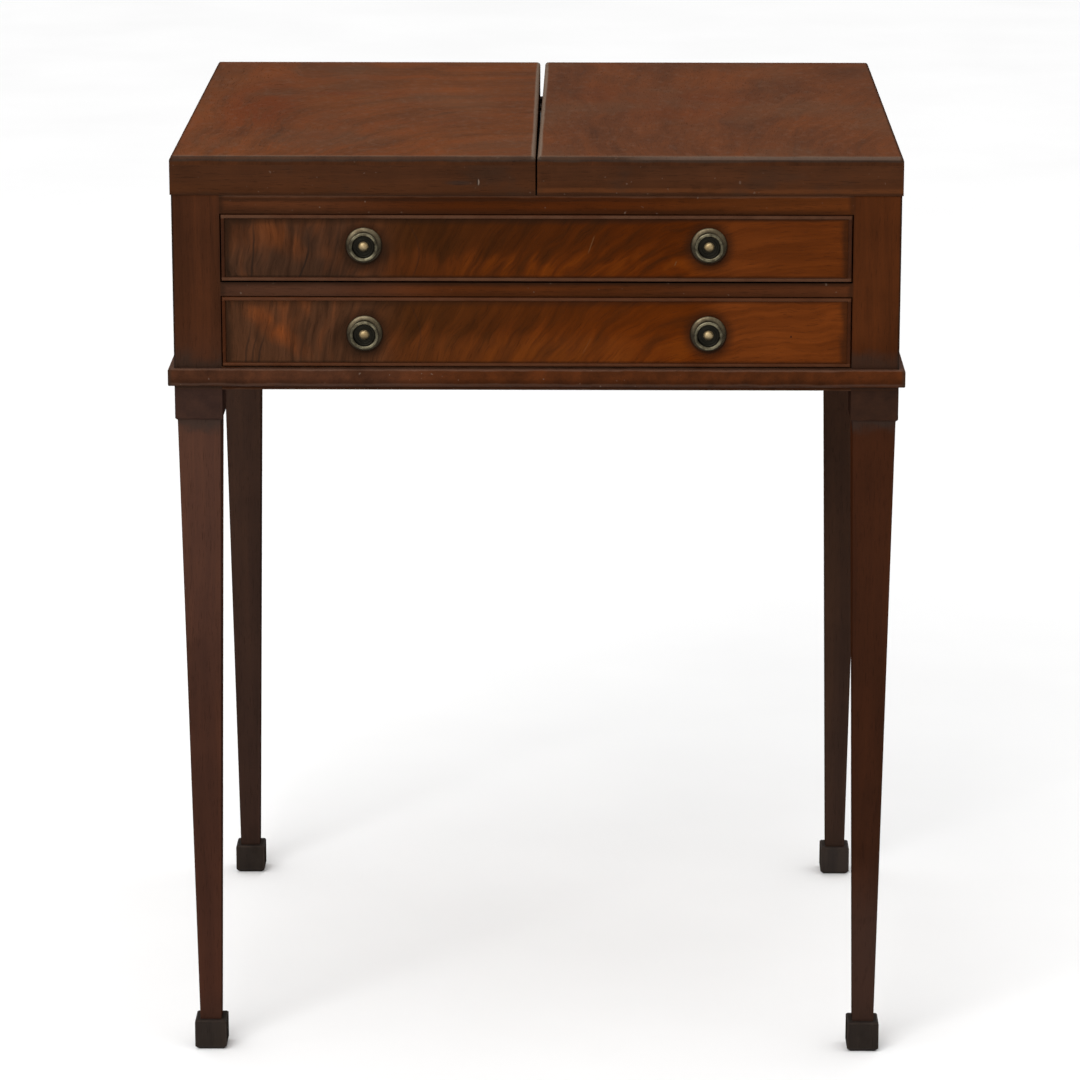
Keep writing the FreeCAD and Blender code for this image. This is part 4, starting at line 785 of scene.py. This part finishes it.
def lid_edges(s, paint, side, low, high):
    """Worn meeting arrises with a painted sheen, a painted highlight and a band of painted shade and dirt
    at the front, painted shade at the back and ends, and the plain wood below the veneer
    """
    wide, set_back = s.size_of(s.x), s.sub(s.y, low[1])
    meeting = s.fade_linear(s.y, low[1], high[1], 0.0008, 0.0023)
    meeting_arris_gap = s.add(s.sub(wide, meeting), s.swing(s.blotch, 0.0022))
    # The meeting arrises: wear, with a painted sheen
    meeting_wear_and_sheen = s.mul(s.fade(meeting_arris_gap, 0.0042, 0.0022), s.fade(s.z, LID_TOP - 0.0035, LID_TOP - 0.0028))
    paint = s.stain(paint, meeting_wear_and_sheen, 0.85, (0.17, 0.12, 0.086))
    patch = s.cloud(36.0, 3.0, 0.6, (8.0, 1.0, 0.0))
    ragged = s.swing(patch, 0.003)
    on_top = s.fade(s.z, LID_TOP - 0.0006, LID_TOP - 0.0002)
    # A painted highlight along the front of the top
    front_highlight = s.mul(s.fade(s.add(set_back, ragged), 0.011, 0.0075), s.fade(patch, 0.35, 0.6, 0.4, 1.0))
    paint = s.stain(paint, s.mul(front_highlight, on_top), 0.5, (0.135, 0.08, 0.05))
    below = s.fade(s.z, LID_TOP - 0.0012, LID_TOP - 0.0028)
    side_rim = s.fade(s.sub(wide, LID_HALF), -0.003, -0.0015)
    plain = s.mul(below, s.most(s.fade(set_back, 0.006, 0.004), side_rim))
    paint = s.mix(plain, paint, s.wood((0.0415, 0.0142, 0.0056), 0.4))
    # A band of painted shade on the front's upper edge, with patchy dirt; on the right lid a grey painted
    # reflection in it
    band = s.mul(s.fade(set_back, 0.0042, 0.0034),
                 s.fade(s.add(s.z, ragged), LID_TOP - 0.0048, LID_TOP - 0.003))
    dusk = s.mix(s.fade(patch, 0.4, 0.62), (0.025, 0.0172, 0.0132), (0.034, 0.0215, 0.015))
    if side > 0:
        pale = s.mul(s.fade(s.add(s.x, s.mul(patch, 0.05)), 0.09, 0.15),
                     s.fade(s.z, LID_TOP - 0.0028, LID_TOP - 0.0014))
        dusk = s.mix(pale, dusk, (0.08, 0.057, 0.044))
    paint = s.stain(paint, band, 0.8, dusk)
    # Painted shade along the back and the ends
    behind = s.most(s.fade(s.sub(high[1], s.y), 0.0055, 0.003),
                    s.fade(wide, LID_HALF - 0.004, LID_HALF - 0.0015))
    behind = s.mul(behind, s.fade(s.z, LID_TOP - 0.004, LID_TOP - 0.003))
    return s.stain(paint, behind, 0.75, (0.026, 0.0105, 0.0045))


def lid_wood(name, side, turns, base, contrast, seed):
    s = Wood("veneer_" + name)
    bend, bend_more = (s.sub(s.cloud(7.0, 2.0, 0.5, seeded_shift(seed + step)), 0.5) for step in (0, 1))
    u = s.add(s.x, s.mul(bend, 0.05))
    w = s.add(s.y, s.mul(bend_more, 0.05))
    point = swept_point(s, u, w, s.mul(s.z, 0.4), turns, seed + 2)
    wide = s.grain(point, (4.6, 26.0, 26.0), 3.0, 0.55)
    ribbon = s.grain(point, (9.0, 85.0, 85.0), 3.0, 0.6)
    s.thread = s.grain(point, (11.0, 420.0, 420.0), 2.0, 0.6)
    s.blotch = s.cloud((13.0, 9.0, 13.0), 3.0, 0.6)
    s.pore = s.pores(point)
    s.tone = s.add(s.add(s.mul(wide, 0.36), s.mul(ribbon, 0.26)),
                   s.add(s.mul(s.thread, 0.12), s.mul(s.blotch, 0.26)))
    red, dim, grey_share = left_lid_areas(s, bend, wide, ribbon) if side < 0 else right_lid_areas(s)
    paint = s.mix(red, s.wood(base, contrast, 0.14), LID_RED)
    grey = s.fade(s.cloud((9.0, 6.0, 9.0), 3.0, 0.6, seeded_shift(seed + 3)), 0.46, 0.66)
    paint = s.stain(paint, grey, grey_share, LID_GREY)
    paint = s.darken(paint, dim, 0.1)
    dusty = s.fade(s.cloud((160.0, 90.0, 160.0), 3.0, 0.6, (1.0, 6.0, 2.0)), 0.52, 0.68)
    paint = lid_edges(s, s.stain(paint, dusty, 0.16, LID_DUST), side, *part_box(name))
    return s.wax(paint, rough=0.42, grime=0.12, specular=0.03, specks=0.1, depth=0.00008)


dress("left_lid_board", lid_wood(
    "left_lid_board", side=-1, base=(0.108, 0.031, 0.0074), contrast=0.36, seed=121,
    turns=((-0.315, 94), (-0.26, 86), (-0.2, 64), (-0.13, 46), (-0.06, 16), (0.0, 4))))
dress("right_lid_board", lid_wood(
    "right_lid_board", side=1, base=(0.094, 0.0272, 0.0074), contrast=0.32, seed=131,
    turns=((0.0, 93), (0.1, 90), (0.2, 82), (0.26, 74), (0.315, 68))))


def lid_frame_wood(name, colour, seed):
    s = Wood("wood_" + name)
    low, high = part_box(name)
    base = low[2]
    rail = s.least(s.sub(s.y, low[1]), s.sub(high[1], s.y))
    cross = s.fade(rail, 0.0242, 0.0238)
    point = s.placed(s.blend(cross, s.y, s.x), s.blend(cross, s.x, s.y), s.z, seed)
    s.figure(point, bands=60.0, band=0.34, curl=0.16)
    paint = s.wood(colour, 0.5)
    warm = s.fade(s.z, base + 0.018, base + 0.004)
    paint = s.stain(paint, warm, 0.45, (0.05, 0.0155, 0.0048))
    level = s.add(s.z, s.swing(s.blotch, 0.004))
    if name.startswith("right"):
        rubbed = s.stripe(level, base + 0.0042, 0.003, 0.0008)
        paint = s.stain(paint, rubbed, 0.55, (0.085, 0.027, 0.0085))
    # A painted shadow line along the frame's foot
    foot_shadow = s.fade(level, base + 0.0034, base + 0.0008)
    paint = s.stain(paint, foot_shadow, 0.5, (0.014, 0.0066, 0.0038))
    smudge = s.fade(s.cloud((16.0, 16.0, 30.0), 3.0, 0.6, (2.0, 7.0, 3.0)), 0.54, 0.7)
    paint = s.stain(paint, smudge, 0.4, (0.024, 0.014, 0.009))
    if name.startswith("left"):
        on_front = s.fade(s.y, low[1] + 0.002, low[1])
        smear = s.mul(s.blob(s.x, s.z, (-0.065, 0.78), (0.016, 0.003), 0.2), on_front)
        paint = s.stain(paint, smear, 0.55, (0.02, 0.0155, 0.013))
        scar = s.mul(s.blob(s.x, s.z, (-0.0492, 0.7806), (0.0016, 0.0034), 0.5), on_front)
        cut = s.mix(s.fade(s.x, -0.0496, -0.0488), (0.012, 0.007, 0.005), (0.17, 0.13, 0.1))
        paint = s.stain(paint, scar, 0.75, cut)
    return s.wax(paint, specks=0.16, grime=0.35)


dress("left_lid_frame", lid_frame_wood("left_lid_frame", (0.04, 0.0138, 0.0056), 141))
dress("right_lid_frame", lid_frame_wood("right_lid_frame", (0.0445, 0.0155, 0.0062), 142))


def mirror_frame_wood():
    s = Wood("wood_mirror_frame")
    low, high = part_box("mirror_frame")
    ends = s.least(s.sub(s.y, low[1]), s.sub(high[1], s.y))
    sides = s.least(s.sub(s.x, low[0]), s.sub(high[0], s.x))
    cross = s.fade(s.sub(sides, ends), -0.0002, 0.0002)
    s.figure(s.placed(s.blend(cross, s.y, s.x), s.blend(cross, s.x, s.y), s.z, 151))
    return s.wax(s.wood((0.09, 0.03, 0.012), 0.4), arris_gap(s, low, high), rough=0.32,
                 specular=0.25)


dress("mirror_frame", mirror_frame_wood())


# Brass, iron and mirror plate
def old_brass(name, dull=(0.055, 0.042, 0.024), bright=(0.3, 0.225, 0.11), rough=0.42):
    s = Shade(name)
    tarnish = s.cloud(150.0, 4.0, 0.6)
    spots = s.fade(s.cloud(620.0, 2.0, 0.5), 0.58, 0.72)
    colour = s.darken(s.mix(s.fade(tarnish, 0.34, 0.64), dull, bright), spots, 0.5)
    gloss = s.add(rough, s.mul(s.sub(0.5, tarnish), 0.35))
    height = s.add(s.mul(tarnish, 0.5), s.mul(spots, -0.5))
    return s.finish(colour, gloss, height, 0.00006, 0.5, 1.0)


plain_brass = old_brass("brass_plain")
for name in ("mirror_pivots", "strut_bracket", "case_hinge_leaves", "left_lid_hinge_leaves",
             "right_lid_hinge_leaves"):
    dress(name, plain_brass)


def old_iron():
    s = Shade("iron_pins")
    rust = s.cloud(300.0, 4.0, 0.6)
    colour = s.mix(s.fade(rust, 0.4, 0.65), (0.16, 0.15, 0.14), (0.075, 0.045, 0.03))
    return s.finish(colour, s.fade(rust, 0.3, 0.7, 0.42, 0.75), rust, 0.00006, 0.5, 0.9)


dress("hinge_pins", old_iron())


def mirror_plate():
    s = Shade("mirror_plate_old")
    haze = s.cloud(9.0, 4.0, 0.6)
    low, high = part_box("mirror_glass")
    rim = s.least(s.least(s.sub(s.x, low[0]), s.sub(high[0], s.x)),
                  s.least(s.sub(s.y, low[1]), s.sub(high[1], s.y)))
    foxed = s.fade(s.add(rim, s.swing(haze, 0.05)), 0.02, 0.004)
    spotted = s.fade(s.add(s.cloud(260.0, 3.0, 0.6), s.mul(foxed, 0.14)), 0.66, 0.72)
    colour = s.mix(haze, (0.7, 0.73, 0.72), (0.8, 0.82, 0.81))
    colour = s.stain(colour, spotted, 0.8, (0.1, 0.09, 0.08))
    return s.finish(colour, s.fade(haze, 0.35, 0.75, 0.03, 0.1), haze, 0.00001, 0.5, 1.0)


dress("mirror_glass", mirror_plate())


# Turned knobs and back plates, finer than the solids they stand for: radius and height in mm
KNOB_PROFILE = (
    (0.0, -13.0), (2.0, -13.0), (2.0, 1.0), (5.5, 1.0), (4.9, 1.4), (4.3, 1.9), (4.0, 2.6),
    (4.0, 5.0), (4.3, 5.6), (5.2, 6.1), (7.0, 6.5), (9.2, 6.7), (10.8, 7.4), (11.7, 8.3),
    (12.2, 9.2), (12.3, 9.6), (12.2, 10.1), (11.8, 10.4), (11.2, 10.6), (10.5, 10.5), (9.9, 10.2),
    (9.5, 9.7), (9.3, 8.8), (8.9, 8.2), (8.3, 8.0), (7.0, 7.9), (6.6, 8.1), (6.2, 7.9), (5.4, 7.9),
    (4.3, 8.0), (4.2, 8.4), (4.0, 9.0), (3.5, 9.7), (2.8, 10.2), (1.6, 10.5), (0.0, 10.6),
)
PLATE_PROFILE = (
    (2.0, 0.0), (15.2, 0.0), (15.2, 0.7), (15.1, 1.0), (14.7, 1.4), (14.1, 1.7), (13.4, 1.9),
    (12.6, 2.1), (11.9, 2.2), (11.3, 2.2), (10.9, 2.0), (10.6, 1.6), (10.3, 1.2), (10.0, 1.0),
    (6.0, 1.0), (2.0, 1.0),
)
MM, LATHE_STEPS, SAME_PLACE, SHARP_EDGE = 0.001, 72, 0.000004, math.radians(50)


def add_object(name, data):
    made = bpy.data.objects.new(name, data)
    bpy.context.scene.collection.objects.link(made)
    return made


def add_mesh(name, points, faces, material, weld):
    """A piece with its faces outward; a welded one is smooth but for its sharp edges"""
    mesh = bpy.data.meshes.new(name)
    mesh.from_pydata(points, [], faces)
    mesh.validate()
    work = bmesh.new()
    work.from_mesh(mesh)
    if weld:
        bmesh.ops.remove_doubles(work, verts=work.verts, dist=SAME_PLACE)
    bmesh.ops.recalc_face_normals(work, faces=work.faces)
    if weld:
        for face in work.faces:
            face.smooth = True
        for edge in work.edges:
            if len(edge.link_faces) == 2 and edge.calc_face_angle() > SHARP_EDGE:
                edge.smooth = False
    work.to_mesh(mesh)
    work.free()
    mesh.materials.append(material)
    return add_object(name, mesh)


def turned_pair(name, profile, front, z, material, body, stands_for, wobble, seed):
    """Lathe work at both knob places of a drawer, with slight hand-made unevenness"""
    spots = random.Random(seed)
    points, faces = [], []
    for side in (-1, 1):
        start = len(points)
        phase = spots.uniform(0, math.tau)
        for radius, height in profile:
            for step in range(LATHE_STEPS):
                angle = math.tau * step / LATHE_STEPS
                triple = 0.5 + 0.5 * math.sin(angle * 3 + phase)
                single = 0.5 + 0.5 * math.sin(angle + phase * 2)
                out = radius * MM * (1 - wobble * triple * single)
                points.append((side * KNOB_X + out * math.cos(angle), front - height * MM,
                               z + out * math.sin(angle)))
        for row in range(len(profile) - 1):
            for step in range(LATHE_STEPS):
                a = start + row * LATHE_STEPS + step
                b = start + row * LATHE_STEPS + (step + 1) % LATHE_STEPS
                faces.append((a, b, b + LATHE_STEPS, a + LATHE_STEPS))
    piece = add_mesh(name, points, faces, material, True)
    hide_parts(stands_for)
    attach(piece, body)


# Brass of the turned work, by distance from a knob's axis and from the drawer's front
def turned_brass(name, front, z):
    s = Shade(name)
    s.radius = s.length(s.sub(s.size_of(s.x), KNOB_X), s.sub(s.z, z))
    s.height = s.sub(front, s.y)
    s.tarnish = s.cloud(190.0, 4.0, 0.6)
    s.rubbed = s.mix(s.fade(s.tarnish, 0.36, 0.64), (0.06, 0.05, 0.03), (0.165, 0.145, 0.092))
    return s


def turned_finish(s, colour, rough):
    turning = s.noise(s.join(s.mul(s.radius, 2600.0), s.mul(s.height, 2600.0), 0.0), 1.0, 0.5)
    gloss = s.add(rough, s.mul(s.sub(0.5, s.tarnish), 0.3))
    bump = s.add(s.mul(s.tarnish, 0.5), s.mul(turning, 0.35))
    return s.finish(colour, gloss, bump, 0.00005, 0.5, 0.92)


def plate_brass(name, front, z):
    s = turned_brass(name, front, z)
    groove = s.fade(s.radius, 0.0112, 0.0106)
    colour = s.mix(0.5, s.rubbed, (0.135, 0.098, 0.055))
    colour = s.mix(groove, colour, (0.03, 0.022, 0.013))
    # Painted shade: the plate darker below its top, which keeps a painted highlight
    below_top_shade = s.fade(s.sub(s.z, z), 0.01, -0.002)
    return turned_finish(s, s.darken(colour, below_top_shade, 0.76), 0.46)


def knob_brass(name, front, z):
    s = turned_brass(name, front, z)
    dish = s.mul(s.fade(s.radius, 0.01, 0.0096), s.fade(s.height, 0.01, 0.0096))
    behind = s.fade(s.height, 0.0082, 0.007)
    boss = s.mul(s.fade(s.radius, 0.0046, 0.0043), s.fade(s.height, 0.0079, 0.0082))
    colour = s.mix(s.most(dish, behind), s.rubbed, (0.009, 0.008, 0.005))
    gold = s.mix(s.fade(s.tarnish, 0.35, 0.65), (0.3, 0.215, 0.105), (0.46, 0.35, 0.19))
    # Painted light: the boss lighter at its top and darker below
    gold = s.scale_colour(gold, s.fade(s.sub(s.z, z), 0.0016, -0.003, 1.0, 0.14))
    colour = s.mix(boss, colour, gold)
    # Painted shade on the left and right flanks of the head
    flank_shade = s.mul(s.stripe(s.z, z, 0.0075, 0.002), s.fade(s.radius, 0.009, 0.0097))
    return turned_finish(s, s.darken(colour, flank_shade, 0.45), s.blend(boss, 0.44, 0.56))


for drawer, seed in (("upper", 7), ("lower", 8)):
    z = knob_level(drawer)
    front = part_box(drawer + "_drawer_front")[0][1]
    turned_pair(drawer + "_turned_knobs", KNOB_PROFILE, front, z,
                knob_brass(drawer + "_knob_brass", front, z),
                drawer + "_drawer", drawer + "_drawer_knobs", 0.01, seed)
    turned_pair(drawer + "_turned_plates", PLATE_PROFILE, front, z,
                plate_brass(drawer + "_plate_brass", front, z),
                drawer + "_drawer", drawer + "_drawer_knob_plates", 0.006, seed + 10)


# Countersunk screws in the hinge leaves
SCREW_STEPS, SCREW_RADIUS, SCREW_RISE, HALF_SLOT, SLOT_FLOOR = 24, 0.0024, 0.0001, 0.00032, 0.00001
screw_metal = old_brass("screw_brass", (0.07, 0.058, 0.04), (0.2, 0.165, 0.105), 0.45)


def make_screws(name, body, places, level, facing):
    """Slotted heads: a low dome in two halves, with the slot's floor between them"""
    spots = random.Random(len(places) + int(level * 1e5))
    points, faces = [], []
    row = SCREW_STEPS + 1
    nick = math.asin(HALF_SLOT / SCREW_RADIUS)
    angles = [nick + (math.pi - 2 * nick) * step / SCREW_STEPS for step in range(row)]
    ring = [(SCREW_RADIUS * math.cos(angle), SCREW_RADIUS * math.sin(angle)) for angle in angles]
    for x, y in places:
        turn = spots.uniform(0, math.pi)

        def put(px, py, lift):
            points.append((x + px * math.cos(turn) - py * math.sin(turn),
                           y + px * math.sin(turn) + py * math.cos(turn), level + lift * facing))

        for half in (-1, 1):
            start = len(points)
            for scale, lift in ((1.0, 0.0), (0.94, SCREW_RISE), (0.5, SCREW_RISE * 1.2)):
                for px, py in ring:
                    put(px * scale, max(py * scale, HALF_SLOT) * half, lift)
            for tier in range(2):
                for step in range(SCREW_STEPS):
                    a = start + tier * row + step
                    faces.append((a, a + 1, a + 1 + row, a + row))
            faces.append(tuple(start + 2 * row + step for step in range(row)))
            left_ends = [start + tier * row for tier in (0, 1, 2)]
            right_ends = [start + tier * row + SCREW_STEPS for tier in (2, 1, 0)]
            faces.append(tuple(left_ends + right_ends))
        start = len(points)
        for px, py in SQUARE:
            put(px * SCREW_RADIUS * 0.97, py * HALF_SLOT * 1.2, SLOT_FLOOR)
        faces.append((start, start + 1, start + 2, start + 3))
    piece = add_mesh(name, points, faces, screw_metal, False)
    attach(piece, body)


SCREW_X, HINGE_MIDDLES, SCREW_PITCH = 0.3002, (-0.1647, 0.1743), 0.013
SCREW_ROWS = [middle + step * SCREW_PITCH for middle in HINGE_MIDDLES for step in (-1, 0, 1)]
LEAF_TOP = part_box("side_panel_left")[1][2]
LID_LEAF_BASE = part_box("left_lid_frame")[0][2]
make_screws("case_hinge_screws", "carcase",
            [(side * SCREW_X, y) for side in (-1, 1) for y in SCREW_ROWS], LEAF_TOP, 1)
make_screws("left_lid_hinge_screws", "left_lid", [(-SCREW_X, y) for y in SCREW_ROWS], LID_LEAF_BASE, -1)
make_screws("right_lid_hinge_screws", "right_lid", [(SCREW_X, y) for y in SCREW_ROWS], LID_LEAF_BASE, -1)

# The stage: a pale floor, soft light from above and the photograph's camera
FLOOR_REACH = 30.0
LAMP_PLACE, LAMP_AIM, LAMP_SIZE, LAMP_POWER = (-1.5, -3.6, 3.0), (0, 0, 0.5), 2.6, 120.0
SKY_START, SKY_END, SKY_LOW, SKY_HIGH = 0.3, 0.85, 0.1, 1.55
CAMERA_PLACE, CAMERA_LENS, CAMERA_SENSOR = (0.0456, -4.191, 1.4702), 157.0, 36.0
CAMERA_DOWN, CAMERA_LEFT = 14.306, 0.62


def make_floor():
    mesh = bpy.data.meshes.new("floor")
    mesh.from_pydata([(x * FLOOR_REACH, y * FLOOR_REACH, 0) for x, y in SQUARE], [], [(0, 1, 2, 3)])
    s = Shade("pale_floor")
    cloud = s.cloud(3.0, 3.0, 0.5)
    colour = s.ramp(cloud, ((0.3, (0.9, 0.9, 0.9)), (0.7, (0.93, 0.93, 0.93))))
    mesh.materials.append(s.finish(colour, 0.9, cloud, 0.0001, 0.05))
    add_object("floor", mesh)


# A studio sky that is dark at the horizon and bright overhead
def make_sky():
    world = bpy.data.worlds.new("studio")
    bpy.context.scene.world = world
    s = Nodes(world)
    upward = s.split(s.node("ShaderNodeTexCoord").outputs["Generated"])[2]
    back = s.node("ShaderNodeBackground")
    back.inputs["Color"].default_value = (1.0, 1.0, 1.0, 1.0)
    s.feed(back.inputs["Strength"], s.fade(upward, SKY_START, SKY_END, SKY_LOW, SKY_HIGH))
    s.feed(s.node("ShaderNodeOutputWorld").inputs["Surface"], back.outputs[0])


def make_lamp():
    data = bpy.data.lights.new("soft_front", "AREA")
    data.shape = "SQUARE"
    data.size = LAMP_SIZE
    data.energy = LAMP_POWER
    lamp = add_object("soft_front", data)
    lamp.location = LAMP_PLACE
    lamp.rotation_euler = (Vector(LAMP_AIM) - Vector(LAMP_PLACE)).to_track_quat("-Z", "Y").to_euler()


def make_camera():
    data = bpy.data.cameras.new("photo_camera")
    data.lens = CAMERA_LENS
    data.sensor_width = CAMERA_SENSOR
    camera = add_object("photo_camera", data)
    camera.location = CAMERA_PLACE
    camera.rotation_mode = "XYZ"
    camera.rotation_euler = (math.radians(90.0 - CAMERA_DOWN), 0.0, math.radians(CAMERA_LEFT))
    bpy.context.scene.camera = camera


make_floor()
make_sky()
make_lamp()
make_camera()
view = bpy.context.scene.view_settings
view.view_transform = "Standard"
view.look = "None"
